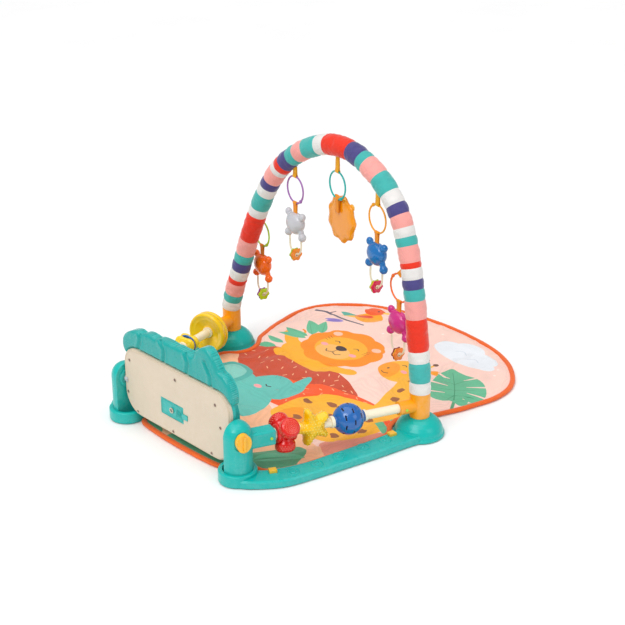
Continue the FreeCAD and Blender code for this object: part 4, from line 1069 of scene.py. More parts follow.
def make_mat_binding():
    path = [Vector((x, y, BINDING_Z)) for x, y in binding_loop]
    tape = mesh("mat_binding", *sweep(path, Z, binding_section, closed=True), [CLOTH["bind"]])
    attach(tape, "frame", slot="mat_fabric")
    stitches = Parts()
    seam = resample(offset(mat_edge, BINDING_WIDTH - 1.6), 4.2)
    for p, q in zip(seam, seam[1:] + seam[:1]):
        along = Vector((q[0] - p[0], q[1] - p[1], 0)).normalized()
        centre = Vector(((p[0] + q[0]) / 2, (p[1] + q[1]) / 2,
                         5.6 + 0.1 * noise_at(p[0] / 9, p[1] / 9, 0)))
        stitches.add(ellipsoid((0, 0, 0), (1.45, 0.34, 0.34), 8, 5),
                     at=basis(centre, along, Z.cross(along), Z))
    attach(stitches.build("mat_binding_stitches", CLOTH["thread"]), "frame", slot="mat_fabric")


make_mat_cloth()
make_mat_binding()

# ------------------------------------------------------------------ hoop sleeve
# colour letter and upper seam of each band, as a length along the hoop; E is the lower end
SLEEVE_BANDS = (
    "W953 T934 W902 R883 P830 T800 B782 W766 R748 P739 T713 W699 P684 B664 W647 T626 P594 T563 "
    "B549 R523 W470 T450 P418 T395 B377 R356 W344 P333 B308 W293 T276 W245 R229 P175 T144 B127 "
    "W109 R91 P81 T56 W41 E24")
SLEEVE_COLOURS = {"W": srgb(234, 231, 228), "T": srgb(64, 182, 176), "R": srgb(240, 46, 12),
                  "P": srgb(250, 166, 158), "B": srgb(74, 68, 132)}
SLEEVE_SIDES = 36
SLEEVE_THICKNESS = 0.9
bands = [(entry[0], float(entry[1:])) for entry in SLEEVE_BANDS.split()]
seams = sorted(upper for _, upper in bands)


def band_colour(run):
    return next(SLEEVE_COLOURS[letter] for (letter, upper), (_, lower) in zip(bands, bands[1:])
                if lower <= run <= upper)


def seam_distance(run):
    return min(abs(run - seam) for seam in seams)


def sleeve_radii(run):
    """Radii of one ring; angle 0 is the hoop's normal and 90 degrees its outer side."""
    seam = seam_distance(run)
    here = hoop_at(run)
    turn = (hoop_at(run + 6) - here).angle(here - hoop_at(run - 6))
    end = min(run - seams[0], seams[-1] - run)
    radii = []
    for a in turns(SLEEVE_SIDES):
        fold = (0.55 * noise_at(run / 7.5, 1.7 * cos(a), 1.7 * sin(a))
                + 0.35 * noise_at(run / 3.2, 2.6 * cos(a) + 5, 2.6 * sin(a)))
        sag = 0.5 * noise_at(run / 30 + 3, cos(a), sin(a))
        crush = ((0.5 + 9 * turn) * max(0.0, sin(a)) * 0.55
                 * sin(tau * run / (6.5 + 1.5 * noise_at(run / 25, a, 0)) + a))
        if end < 4:
            radii.append(17.15 + 0.2 * sin(end * 1.4) + 0.1 * fold)
        else:
            radii.append(16.7 + 0.55 * (1 - exp(-(seam / 3.5) ** 2)) + fold + sag + crush
                         - 0.55 * exp(-(seam / 1.1) ** 2))
    return radii


def make_sleeve():
    # each seam falls on a ring
    runs = []
    for low, high in zip(seams, seams[1:]):
        steps = max(3, int(round((high - low) / 2.5)))
        runs += [low + (high - low) * k / steps for k in range(steps)]
    runs.append(seams[-1])
    rows, sides = len(runs), SLEEVE_SIDES
    verts, pins = [], []
    for i, run in enumerate(runs):
        tangent = (hoop_at(run + 2) - hoop_at(run - 2)).normalized()
        side = tangent.cross(HOOP_NORMAL).normalized()
        centre = hoop_at(run)
        for a, radius in zip(turns(sides), sleeve_radii(run)):
            verts.append(centre + HOOP_NORMAL * (radius * cos(a)) + side * (radius * sin(a)))
        if seam_distance(run) < 3:
            weight = 1.0 if seam_distance(run) < 0.8 else 0.3
            pins += [(i * sides + j, weight) for j in range(sides)]
    raw = mesh("sleeve_raw", verts, ring_faces(rows, sides, capped=True), [CLOTH["sleeve"]])
    outer = [Vector(p) for p in run_cloth(raw, pins, stiffness=8.0, shrink=-0.02, limit=1.3,
                                          pressure=3.0)]
    bpy.data.objects.remove(raw)
    inner = [point + (hoop_at(runs[i // sides]) - point).normalized() * SLEEVE_THICKNESS
             for i, point in enumerate(outer)]
    count = len(outer)
    skin = ring_faces(rows, sides)
    faces = skin + [tuple(count + k for k in reversed(face)) for face in skin]
    last = (rows - 1) * sides
    for j in range(sides):
        k = (j + 1) % sides
        faces.append((j, count + j, count + k, k))
        faces.append((last + k, count + last + k, count + last + j, last + j))
    colours = [band_colour((low + high) / 2) for low, high in zip(runs, runs[1:])
               for _ in range(sides)]
    sleeve = mesh("sleeve_cloth", outer + inner, faces, [CLOTH["sleeve"]],
                  colours * 2 + [SLEEVE_COLOURS["W"]] * (2 * sides))
    subdivision = sleeve.modifiers.new("sub", "SUBSURF")
    subdivision.levels = subdivision.render_levels = 1
    subdivision.boundary_smooth = "PRESERVE_CORNERS"
    bake(sleeve)
    attach(sleeve, "frame", "arch_sleeve", slot="sleeve_fabric")


make_sleeve()

# ------------------------------------------------------------------ hanging toys
# name, ring node, ring centre, turn about Z (degrees), ring material, clasp angle (degrees),
# ribbon cloth, bear colour, colours of the three bead layers
TOYS = [
    ("orange", "lime_ring", (-188.0, 37.0, 221.0), -10.0, "lime", -50, "orange",
     (255, 108, 4), ((150, 60, 160), (250, 90, 20), (186, 222, 24))),
    ("grey", "purple_ring", (-81.0, 19.0, 333.5), -9.0, "purple", -48, "yellow",
     (206, 206, 212), ((190, 216, 40), (226, 52, 24), (255, 146, 16))),
    ("lion", "teal_ring", (18.0, 21.0, 365.0), -12.0, "teal", -62, "yellow", None, None),
    ("blue", "yellow_ring", (111.0, 19.0, 332.0), -12.0, "amber", 122, "yellow",
     (22, 116, 190), ((196, 206, 30), (255, 176, 20), (226, 26, 80))),
    ("pink", "orange_ring", (162.0, 20.0, 227.5), -10.0, "orange", 140, "orange",
     (214, 48, 138), ((150, 24, 40), (250, 206, 40), (255, 134, 16))),
]
LINK_RADIUS = 23.5
RIBBON_WIDTH, RIBBON_THICKNESS = 10.0, 0.9
BELLY_CENTRE, BELLY = -60.6, (22.6, 13.2, 19.6)     # height and radii of the bear's trunk
EAR_X, EAR_Z, PAW_Z = 20.5, -44.5, -81.2


def folded_ribbon(at, along, across, wide, length):
    """Ribbon down one face, round the wire at `at`, and back up the other face."""
    leg = [(1.0, length), (1.0, length * 0.72 + 1.2), (1.15, length * 0.5 + 2), (1.5, 4.6),
           (2.1, 2.4)]
    bend = [radians(24 - (180 + 48) * k / 10) for k in range(11)]
    path = catmull([(x * 0.75, y) for x, y in leg] + [(2.25 * cos(a), 2.25 * sin(a)) for a in bend]
                   + [(-x * 0.75, y) for x, y in reversed(leg)], False, 3)
    points = [at + across * x + along * y for x, y in path]
    # thin band with round edges
    half = RIBBON_THICKNESS / 2
    section = []
    for side, start in ((1, -90), (-1, 90)):
        for k in range(5):
            a = radians(start + 180.0 * k / 4)
            section.append((side * (RIBBON_WIDTH / 2 - half) + half * cos(a), half * sin(a)))
    verts = []
    count = len(points)
    for i, (x, y) in enumerate(path):
        tangent = (points[min(count - 1, i + 1)] - points[max(0, i - 1)]).normalized()
        face = tangent.cross(wide).normalized()
        wobble = 0.25 * noise_at(y / 5, x, 1.0)
        for shift, rise in section:
            scallop = 0.12 * sin(y * 3.2) * (1 if abs(shift) > RIBBON_WIDTH / 2 - 0.5 else 0)
            verts.append(points[i] + wide * (shift + scallop * copysign(1, shift))
                         + face * (rise + wobble * (shift / RIBBON_WIDTH) ** 2))
    return verts, ring_faces(count, len(section), capped=True)


def box_stitch(name, body, at, along, across, wide, low, high, rise):
    """Box of stitches between two heights, on both faces of a ribbon."""
    stitches = Parts()
    edge = RIBBON_WIDTH / 2 - 1.3
    corners = [Vector(p) for p in ((-edge, low), (edge, low), (edge, high), (-edge, high))]
    for start, end in zip(corners, corners[1:] + corners[:1]):
        run = (end - start).normalized()
        steps = max(1, int((end - start).length / 1.6))
        for k in range(steps):
            spot = start.lerp(end, (k + 0.5) / steps)
            for side in (1, -1):
                thread = (wide * run.x + along * run.y).normalized()
                up = across * side
                origin = at + wide * spot.x + along * spot.y + up * rise
                stitches.add(ellipsoid((0, 0, 0), (0.58, 0.2, 0.2), 6, 4),
                             at=basis(origin, thread, up.cross(thread), up))
    attach(stitches.build(name, CLOTH["thread"]), body)


def make_link_ring(toy, node, pose, normal, material, clasp):
    count = 120
    path = [pose @ Vector((LINK_RADIUS * cos(a), 0, LINK_RADIUS * sin(a))) for a in turns(count)]

    def section(i):
        """Thick at the clasp, with a collar and a groove on each side of it."""
        away = abs((360.0 * i / count - clasp + 180) % 360 - 180)
        radius = 1.5 + 1.6 * exp(-(away / 9.0) ** 2) + 0.5 * exp(-((away - 19) / 3.5) ** 2)
        groove = 1.0 - 0.35 * exp(-((away - 11.5) / 1.3) ** 2)
        return disc_section(radius * groove, 14, 0.86 if away < 16 else 1.0)

    ring = mesh(toy + "_link_ring", *sweep(path, normal, section, closed=True), [SOLID[material]])
    attach(ring, node, node)


def make_sleeve_ribbon(toy, centre, pose, level_x, cloth):
    """Ribbon from the sleeve down to the link ring."""
    at = pose @ Vector((0, 0, LINK_RADIUS))
    x, y, z = centre
    if toy in ("orange", "pink"):
        nearest = hoop_distances((x, y, z + 44)).argmin()
        target = hoop_at(HOOP_RUN[nearest])
    else:
        target = Vector((x, y, z + 120))
    along = (target - at).normalized()
    length = 3.0
    while length < 80 and hoop_distances(at + along * length).min() > 16.2:
        length += 0.5
    wide = level_x - along * level_x.dot(along)
    if wide.length < 0.6:
        wide = Z - along * along.z
    wide.normalize()
    across = along.cross(wide)
    ribbon = mesh(toy + "_sleeve_ribbon", *folded_ribbon(at, along, across, wide, length),
                  [CLOTH[cloth]])
    # the first ribbon stands in for the CAD ribbons
    nodes = ["sleeve_ribbons"] if toy == TOYS[0][0] else []
    attach(ribbon, "frame", *nodes, slot="ribbon_fabric")
    box_stitch(toy + "_ribbon_stitches", "frame", at, along, across, wide, 4.6, 7.0, rise=1.75)


def make_strap(toy, body, pose, wide):
    """Strap from the link ring down to the toy."""
    line = (pose @ Vector((0, 0, -LINK_RADIUS)), -Z, (-Z).cross(wide), wide)
    length = 24.0 if toy == "lion" else 21.0
    strap = mesh(toy + "_strap", *folded_ribbon(*line, length), [CLOTH["orange"]])
    attach(strap, body, slot="ribbon_fabric")
    box_stitch(toy + "_strap_stitches", body, *line, 4.6, 7.2, rise=1.75)
    if toy == "lion":
        box_stitch("lion_strap_tack", body, *line, 17.5, 22.5, rise=1.3)


def belly_width(height):
    """Width factor of the trunk; height runs from -1 at its foot to 1 at its top."""
    return 1.0 - 0.16 * max(0.0, -height) ** 1.5 + 0.05 * height


def make_bear_form(toy, body, pose, colour):
    """Flattened bear, fused from ellipsoids and smoothed."""
    trunk = []
    verts, faces = ellipsoid((0, 0, BELLY_CENTRE), BELLY, 48, 30)
    for x, y, z in verts:
        height = (z - BELLY_CENTRE) / BELLY[2]
        trunk.append((x * belly_width(height), y * (1 - 0.10 * max(0, -height)), z))
    parts = Parts().add((trunk, faces), at=pose)
    for side in (1, -1):
        parts.add(ellipsoid((side * EAR_X, 0, EAR_Z), (6.9, 5.6, 6.9), 24, 16), at=pose)
        parts.add(ellipsoid((side * EAR_X, 0, PAW_Z), (7.4, 6.9, 7.4), 24, 16), at=pose)
        parts.add(ellipsoid((side * 17.0, 0, -73.5), (5.4, 5.0, 6.8), 20, 12), at=pose)
    # muzzle
    parts.add(ellipsoid((0, 9.6, -64.5), (9.2, 6.2, 7.2), 24, 16), at=pose)
    bear = parts.build(toy + "_bear_form", SOLID["toy"])
    remesh = bear.modifiers.new("remesh", "REMESH")
    remesh.mode = "VOXEL"
    remesh.voxel_size = 0.9 * MM
    smooth = bear.modifiers.new("smooth", "SMOOTH")
    smooth.factor, smooth.iterations = 0.6, 6
    bake(bear)
    shade_smooth(bear.data)
    bear.data.materials.clear()
    bear.data.materials.append(SOLID["toy"])
    paint(bear.data, [colour] * len(bear.data.polygons))
    attach(bear, body, toy + "_bear")


def lighten(colour, gain, lift):
    return tuple(min(1.0, v * gain + lift) for v in colour[:3]) + (1,)


def make_bear_face(toy, body, pose, normal, colour):
    """Seam bead round the trunk, the face on the +Y side, and ear and paw discs."""
    dark, light = srgb(52, 40, 44), lighten(colour, 1.5, 0.08)
    seam = [pose @ Vector(((BELLY[0] + 0.05) * belly_width(sin(a)) * cos(a), 0,
                           BELLY_CENTRE + BELLY[2] * sin(a))) for a in turns(96)]
    parts = Parts().add(sweep(seam, normal, disc_section(0.42, 8), closed=True),
                        lighten(colour, 1.25, 0.02))
    parts.add(ellipsoid((0, 15.4, -62.2), (3.0, 1.3, 2.1), 18, 10), dark, pose)
    for side in (1, -1):
        parts.add(ellipsoid((side * 7.6, 11.5, -55.8), (1.5, 0.9, 1.9), 14, 8), dark, pose)
        parts.add(ellipsoid((side * EAR_X, 4.6, EAR_Z), (4.0, 1.2, 4.0), 20, 8), light, pose)
        for y, shade in ((6.1, light), (-6.1, colour)):
            parts.add(ellipsoid((side * EAR_X, y, PAW_Z), (3.4, 1.0, 3.4), 20, 8), shade, pose)
    # mouth
    for k in range(9):
        a = radians(200 + 140 * k / 8)
        spot = (4.4 * cos(a), 15.0 - 0.2 * abs(k - 4), -65.2 + 2.6 * sin(a))
        parts.add(ellipsoid(spot, (0.7, 0.5, 0.5), 8, 6), dark, pose)
    attach(parts.build(toy + "_bear_face", SOLID["toy"]), body)


def make_bead(toy, pose, colours):
    """Bead of three six-lobed layers threaded along the toy's x, below the bear."""
    pose = pose @ basis(Vector((0, 0, -117.0)), Y, Z, X)
    parts = Parts()
    for layer, (start, outer) in enumerate(((-4.0, 10.4), (-1.3, 9.6), (1.4, 11.0))):

        def lobes(a, radius):
            if radius < 3:
                return 1.0
            return outer / 10.0 * (1 + (0.10 * (radius / 10.0) ** 2) * cos(6 * a + layer * 0.35))

        profile = [(2.45, start), (5.0, start - 0.05), (8.2, start + 0.02), (9.6, start + 0.35),
                   (10.0, start + 1.3), (9.6, start + 2.25), (8.2, start + 2.58),
                   (5.0, start + 2.65), (2.45, start + 2.6)]
        parts.add(lathe(profile, 72, lobes), colours[layer], pose)
    for side, colour in ((-1, colours[0]), (1, srgb(250, 226, 190))):
        parts.add(lathe([(2.42, side * 3.6), (3.6, side * 3.9), (3.8, side * 4.6),
                         (3.3, side * 5.1), (2.42, side * 5.2)], 30), colour, pose)
    attach(parts.build(toy + "_flower_bead", SOLID["toy"]), toy + "_bead", toy + "_bead")


def make_lion(pose):
    """Round plate with a scalloped mane; the face is on its +Y side."""
    middle = -9.1     # plane of the plate in the outline frame, whose z points to -Y
    height = Matrix.Translation((0, 0, -60.0))
    outline_frame = pose @ basis(Vector((0, 0, -60.0)), X, Z, -Y)
    mane = []
    for a in turns(144):
        radius = 39.6 + 1.9 * cos(9 * a) + 0.5 * cos(3 * a + 0.6)
        mane.append((radius * cos(a), radius * sin(a) * 1.02))

    def back(x, y, distance):
        """Rounded edge, a ring groove and a raised middle."""
        radius = np.hypot(x, y)
        return (bulge(5.4, 13.0, middle)(x, y, distance)
                - 0.35 * np.exp(-((radius - 31.5) / 1.6) ** 2) + 0.5 * np.exp(-(radius / 26) ** 4))

    verts, faces = closed_puff(mane, 2.6, back, bulge(-4.2, 6.0, middle), outline_frame)
    plate = mesh("lion_mane_plate", verts, faces, [SOLID["toy"]],
                 [srgb(255, 158, 0)] * len(faces))
    attach(plate, "lion_toy", "lion_toy")
    parts = Parts()
    parts.add(closed_puff(ellipse(0, 0, 26, 25, count=60), 2.6, level(middle - 3.6),
                          bulge(-3.0, 9.0, middle - 3.8), outline_frame), srgb(255, 206, 96))
    pose = pose @ height
    for side in (1, -1):
        # eye, muzzle, cheek and ear
        for (x, y, z), radii, around, down, rgb in (
                ((9.5, 15.4, 6.0), (2.2, 1.2, 2.8), 18, 10, (50, 38, 42)),
                ((5.2, 15.2, -7.0), (6.6, 2.8, 5.4), 22, 14, (255, 232, 190)),
                ((15.5, 14.4, -4.0), (3.4, 1.2, 2.6), 18, 10, (255, 140, 120)),
                ((25.0, 12.6, 25.5), (6.4, 3.0, 6.4), 22, 14, (255, 186, 60))):
            parts.add(ellipsoid((side * x, y, z), radii, around, down), srgb(*rgb), pose)
    # nose
    parts.add(ellipsoid((0, 18.0, -3.2), (4.2, 1.9, 2.8), 20, 12), srgb(120, 50, 30), pose)
    attach(parts.build("lion_face", SOLID["toy"]), "lion_toy")


for toy, node, centre, turn, ring_material, clasp, ribbon_cloth, bear_rgb, bead_rgbs in TOYS:
    rotation = Matrix.Rotation(radians(turn), 4, "Z")
    pose = Matrix.Translation(centre) @ rotation
    toy_x, toy_y = rotation @ X, rotation @ Y
    body = toy + "_toy"
    make_link_ring(toy, node, pose, toy_y, ring_material, clasp)
    make_sleeve_ribbon(toy, centre, pose, toy_x, ribbon_cloth)
    make_strap(toy, body, pose, toy_x)
    if toy == "lion":
        lion_pose = pose
    else:
        make_bear_form(toy, body, pose, srgb(*bear_rgb))
        make_bear_face(toy, body, pose, toy_y, srgb(*bear_rgb))
        make_bead(toy, pose, [srgb(*rgb) for rgb in bead_rgbs])
make_lion(lion_pose)

# ------------------------------------------------------------------ toys on the bars
PIANO_Y = -309.0
BAR_X, BAR_Z = 139.4, 65.7                      # start of a bar at the piano
BAR_RUN_X, BAR_RUN_Y, BAR_LENGTH = 93.1, 307.7, 321.48
BAR_DROP = 0.0426                               # per mm of length
BORE = 7.65                                     # radius of most holes that clear a bar
ROLLER_AT, STAR_AT, BALL_AT = 79.5, 126.6, 190.5     # lengths along the right bar
DRUM_AT, FLOWER_AT = 245.0, 176.0                    # lengths along the left bar


def bar_direction(side):
    return Vector((side * BAR_RUN_X, BAR_RUN_Y, -BAR_DROP * BAR_LENGTH)).normalized()


def bar_point(side, run):
    return Vector((side * (BAR_X + BAR_RUN_X * run / BAR_LENGTH),
                   PIANO_Y + BAR_RUN_Y * run / BAR_LENGTH, BAR_Z - BAR_DROP * run))


def bar_frame(side, run):
    return frame_along(bar_point(side, run), bar_direction(side))


def polar_points(node, pose):
    """(radius, angle) of a CAD node's vertices about the z of a frame."""
    inverse = pose.inverted()
    local = np.array([list(inverse @ Vector(np.array(vert.co) / MM))
                      for vert in NODES[node].data.vertices])
    return np.hypot(local[:, 0], local[:, 1]), np.arctan2(local[:, 1], local[:, 0])


def lobe_phase(node, pose, beyond, count, default):
    """Angle of the first of `count` lobes; the default serves if no vertex lies beyond."""
    radii, angles = polar_points(node, pose)
    tips = angles[radii > beyond]
    return float(np.angle(np.exp(1j * count * tips).mean())) / count if len(tips) else default


def make_roller():
    """Flanged hub with three dotted pads at the angles of the CAD roller."""
    pose = bar_frame(1, ROLLER_AT)
    axis = bar_direction(1)
    hub = [(7.7, -16), (12.0, -16), (14.6, -15.2), (15.4, -13.6), (14.8, -12.0), (13.4, -10.6),
           (13.0, -6), (12.6, 0), (13.0, 6), (13.4, 10.6), (14.8, 12.0), (15.4, 13.6),
           (14.6, 15.2), (12.0, 16), (7.7, 16)]
    parts = Parts().add(lathe(hub, 64), srgb(232, 20, 10), pose)
    radii, angles = polar_points("red_roller", pose)
    angles = angles[radii > 30.2]
    phase = radians(max(range(120), key=lambda k: np.cos(3 * (angles - radians(k))).sum()))
    pad = [(0.02, 4), (11.2, 4), (12.4, 11), (13.6, 13.5), (15.0, 15.2), (15.75, 17.4),
           (15.8, 24.0), (15.3, 27.2), (13.8, 29.2), (11.5, 30.0), (7.5, 30.7), (3.5, 31.0),
           (0.02, 31.05)]
    for k in range(3):
        a = phase + tau * k / 3
        out = (pose.to_3x3() @ Vector((cos(a), sin(a), 0))).normalized()
        pad_frame = basis(bar_point(1, ROLLER_AT), axis, out.cross(axis), out)
        parts.add(lathe(pad, 56), srgb(226, 14, 6), pad_frame)
        for ring in range(5):
            radius = 2.75 * ring
            height = 31.0 - 1.0 * (radius / 11.5) ** 2
            for spot in turns(6 * ring or 1):
                spot += 0.3 * ring
                shift = Matrix.Translation((radius * cos(spot), radius * sin(spot),
                                            height - 0.05))
                parts.add(dome(0.8, 0.6), srgb(255, 128, 96), pad_frame @ shift)
        # three rows of dots round the rim, the middle one staggered
        for height, stagger in ((19.0, 0), (22.0, 0.5), (25.0, 0)):
            for j in range(22):
                spot = tau * (j + stagger) / 22
                normal = Vector((cos(spot), sin(spot), 0))
                parts.add(dome(0.8, 0.6), srgb(255, 120, 90),
                          pad_frame @ frame_along(normal * 15.75 + Vector((0, 0, height)), normal))
    attach(parts.build("roller_pads", SOLID["toy"]), "roller", "red_roller")


def make_star():
    """Puffed star with raised dots; its faces look out and in, level."""
    axis = bar_direction(1)
    out = axis.cross(Z).normalized()
    pose = basis(bar_point(1, STAR_AT), axis, out.cross(axis), out)
    phase = lobe_phase("star_spinner", pose, beyond=29.5, count=5, default=0.3)
    outline = []
    for k in range(5):
        a = phase + tau * k / 5
        for swing, radius in ((-0.32, 23.5), (-0.15, 30.2), (0.0, 32.4), (0.15, 30.2),
                              (0.32, 23.5), (0.628, 18.0)):
            outline.append((radius * cos(a + swing), radius * sin(a + swing)))
    outline = catmull(outline, True, 5)
    surface = bulge(14.0, 14.5)
    parts = Parts().add(closed_puff(outline, 2.0, surface, bulge(-14.0, 14.5), pose),
                        srgb(255, 200, 0))
    pitch_x, pitch_y = 5.2, 4.6
    x, y = np.array([(pitch_x * i + (pitch_x / 2 if j % 2 else 0), pitch_y * j)
                     for i in range(-9, 10) for j in range(-9, 10)]).T
    distance = edge_distance(outline, x, y)
    keep = inside(outline, x, y) & (distance > 1.6)
    heights = surface(x, y, distance)
    for spot_x, spot_y, height in zip(x[keep], y[keep], heights[keep]):
        for side in (1, -1):
            parts.add(dome(1.3, 1.0), srgb(255, 222, 70),
                      pose @ face_frame(spot_x, spot_y, height - 0.15, side))
    for side in (-1, 1):
        parts.add(lathe([(BORE, side * 14), (10.4, side * 14), (10.6, side * 16.6),
                         (9.8, side * 17.4), (BORE, side * 17.4)], 40),
                  srgb(252, 190, 20), bar_frame(1, STAR_AT))
    attach(parts.build("star_puff", SOLID["toy"]), "star", "star_spinner")


def ball_slots(pose):
    """Rounded cutters in three staggered rows of eight."""
    half_length, half_width, half_depth = 4.3, 1.15, 3.2
    profile = [((half_length - half_width) * (1 if cos(a) > 0 else -1) + half_width * cos(a),
                half_width * sin(a)) for a in turns(16)]
    parts = Parts()
    for row, height in enumerate((-13.5, 0.0, 13.5)):
        for k in range(8):
            a = tau * (k + 0.5 * (row % 2)) / 8 + 0.2
            normal = Vector((cos(a), sin(a), height / 21.0)).normalized()
            along = Vector((-sin(a), cos(a), 0))
            up = along.cross(normal)
            centre = normal * 24.5
            verts = [centre + along * x + up * y + normal * depth
                     for depth in (-half_depth, half_depth) for x, y in profile]
            parts.add((verts, ring_faces(2, 16, capped=True)), at=pose)
    return parts.build("ball_cutter", SOLID["dark"])


def make_ball():
    """Slotted ball; the walls and floors of the slots are coloured dark as painted shade."""
    pose = bar_frame(1, BALL_AT)
    ball = Parts().add(ellipsoid((0, 0, 0), (25.2, 25.2, 25.2), 96, 60), at=pose).build(
        "ball_shell", SOLID["blue"])
    cutter = ball_slots(pose)
    boolean = ball.modifiers.new("slots", "BOOLEAN")
    boolean.operation, boolean.solver, boolean.object = "DIFFERENCE", "EXACT", cutter
    bake(ball)
    bpy.data.objects.remove(cutter)
    data = ball.data
    data.materials.clear()
    data.materials.append(SOLID["blue"])
    data.materials.append(SOLID["dark"])
    inverse = pose.inverted()
    # painted shade: faces sunk inside the shell, the slot walls and floors, take the dark material
    data.polygons.foreach_set("material_index", [
        1 if (inverse @ (face.center / MM)).length < 24.6 else 0 for face in data.polygons])
    shade_smooth(data)
    attach(ball, "ball", "blue_ball")
    trim = Parts()
    for side in (-1, 1):
        trim.add(lathe([(BORE, side * 22.8), (9.6, side * 22.8), (10.4, side * 24.0),
                        (10.0, side * 26.2), (BORE, side * 26.4)], 40), srgb(24, 96, 170), pose)
    # bead over the local +x side; between its two arcs it crosses inside the ball
    arc = [pose @ Vector((25.25 * cos(a), 0, 25.25 * sin(a))) for a in turns(96) if cos(a) > 0.45]
    trim.add(sweep(arc, pose.to_3x3() @ Y, disc_section(0.35, 8)), srgb(40, 120, 196))
    attach(trim.build("ball_trim", SOLID["toy"]), "ball")


def make_drum():
    profile = [(BORE, -1.5), (10.2, -1.7), (11.3, -1.2), (12.6, -1.4), (14.0, -2.2), (24.0, -6.2),
               (25.0, -7.1), (26.3, -7.2), (27.2, -7.4), (31.4, -9.2), (32.3, -9.9),
               (33.8, -10.2), (35.3, -9.5), (36.3, -7.8), (36.7, -5.6), (36.7, -0.8),
               (36.1, -0.3), (36.1, 0.4), (36.7, 0.9), (36.7, 6.0), (36.0, 7.9), (34.2, 9.2),
               (31.0, 10.1), (27.0, 10.1), (26.0, 9.4), (14.0, 9.4), (13.0, 10.1), (9.0, 10.2),
               (BORE, 10.0)]
    pose = bar_frame(-1, DRUM_AT)
    parts = Parts().add(lathe(profile, 108), srgb(255, 206, 0), pose)
    for a in turns(36):
        normal = Vector((cos(a), sin(a), 0))
        parts.add(dome(0.85, 0.5), srgb(255, 214, 60),
                  pose @ frame_along(normal * 36.6 + Vector((0, 0, 3.6)), normal))
    attach(parts.build("drum_form", SOLID["toy"]), "drum", "yellow_drum")


def make_flower():
    """Two puffed three-lobed plates, one on each side of the disc."""
    pose = bar_frame(-1, FLOWER_AT)
    phase = lobe_phase("flower_bead", pose, beyond=19.0, count=3, default=1.95)
    lobes = [phase + tau * k / 3 for k in range(3)]
    outline = []
    for a in lobes:
        for swing in (-78, -58, -38, -19, 0, 19, 38, 58, 78):
            b = a + radians(swing)
            outline.append((9.0 * cos(a) + 12.3 * cos(b), 9.0 * sin(a) + 12.3 * sin(b)))
    outline = catmull(outline, True, 3)

    def top(x, y, distance):
        """Rounded edge with a groove inside it."""
        return bulge(4.9, 5.0)(x, y, distance) - 0.7 * np.exp(-((distance - 4.4) / 1.0) ** 2)

    parts = Parts()
    for height in (-7.0, 7.0):
        parts.add(closed_puff(outline, 1.5, top, lambda *spot: -top(*spot),
                              pose @ Matrix.Translation((0, 0, height))), srgb(255, 214, 10))
    for a in lobes:
        for side in (1, -1):
            parts.add(dome(3.4, 1.0, 20, 6), srgb(255, 222, 70),
                      pose @ face_frame(12.6 * cos(a), 12.6 * sin(a), 11.6, side))
    attach(parts.build("flower_form", SOLID["toy"]), "flower", "flower_bead")


def make_disc():
    profile = [(BORE, -1.7), (12.0, -1.9), (13.0, -1.5), (15.6, -1.5), (16.4, -1.9), (17.5, -1.6),
               (18.1, -0.8), (18.2, 0.0), (18.1, 0.8), (17.5, 1.6), (16.4, 1.9), (15.6, 1.5),
               (13.0, 1.5), (12.0, 1.9), (BORE, 1.7)]
    parts = Parts().add(lathe(profile, 72), srgb(24, 100, 178), bar_frame(-1, FLOWER_AT))
    attach(parts.build("disc_form", SOLID["toy"]), "disc", "blue_disc")


make_roller()
make_star()
make_ball()
make_drum()
make_flower()
make_disc()

# ------------------------------------------------------------------ piano
# (x, z) over the scalloped top from -X to +X, then its two bottom corners
CREST_TOP = [
    (-119, 113), (-126.5, 117), (-134, 122), (-138.8, 129), (-140.4, 139), (-137, 149),
    (-129.8, 156.5), (-119, 163), (-108, 167), (-98, 168.8), (-89, 167.2), (-80, 171.2),
    (-69, 173), (-58, 172.4), (-51, 171.4), (-43, 174), (-32, 175.2), (-18, 175.4), (-6, 174.2),
    (3, 175.4), (14, 174.8), (26, 175.2), (36, 173.2), (42, 173), (45, 180), (50, 187), (58, 193),
    (67, 196.8), (76, 197.2), (83, 193), (90, 185), (96, 177.2), (101.6, 169), (106, 166.4),
    (113, 164.6), (120, 159.6), (126, 153), (130, 145), (131.8, 135), (131.2, 126.5), (129, 121),
    (124, 117.6)]
CREST_BASE = [(60, 124), (-60, 124)]
# (x, z) lines of the grooves between scallops
GROOVES = [catmull(line, False, 6) for line in (
    [(-93, 170), (-90, 161), (-91, 152), (-97, 139)],
    [(-43, 177), (-34, 169), (-28, 160), (-31, 139)],
    [(22, 178), (27, 168), (31, 159), (26, 139)],
    [(72, 176), (80, 164), (85, 155), (85, 139)])]
COVER_SHAPE = (132.0, 19.5, 137.0, 38, 30)     # half width, low, high, low and high corner radii
COVER = rounded_box(*COVER_SHAPE)
COVER_SCREWS = [(-117.0, 113.5), (-125.3, 54.0), (-101.5, 25.5), (1.0, 120.6), (98.0, 113.8),
                (109.0, 78.7), (86.0, 25.2), (-9.0, 25.2)]     # (x, z)
DOOR_X, DOOR_Z = -9.5, 63.5
KEY_COLOURS = [(240, 40, 24), (255, 130, 10), (255, 205, 20), (120, 200, 50), (30, 120, 200)]
KEY_ICONS = ["heart", "star", "dot", "drop", "triangle"]


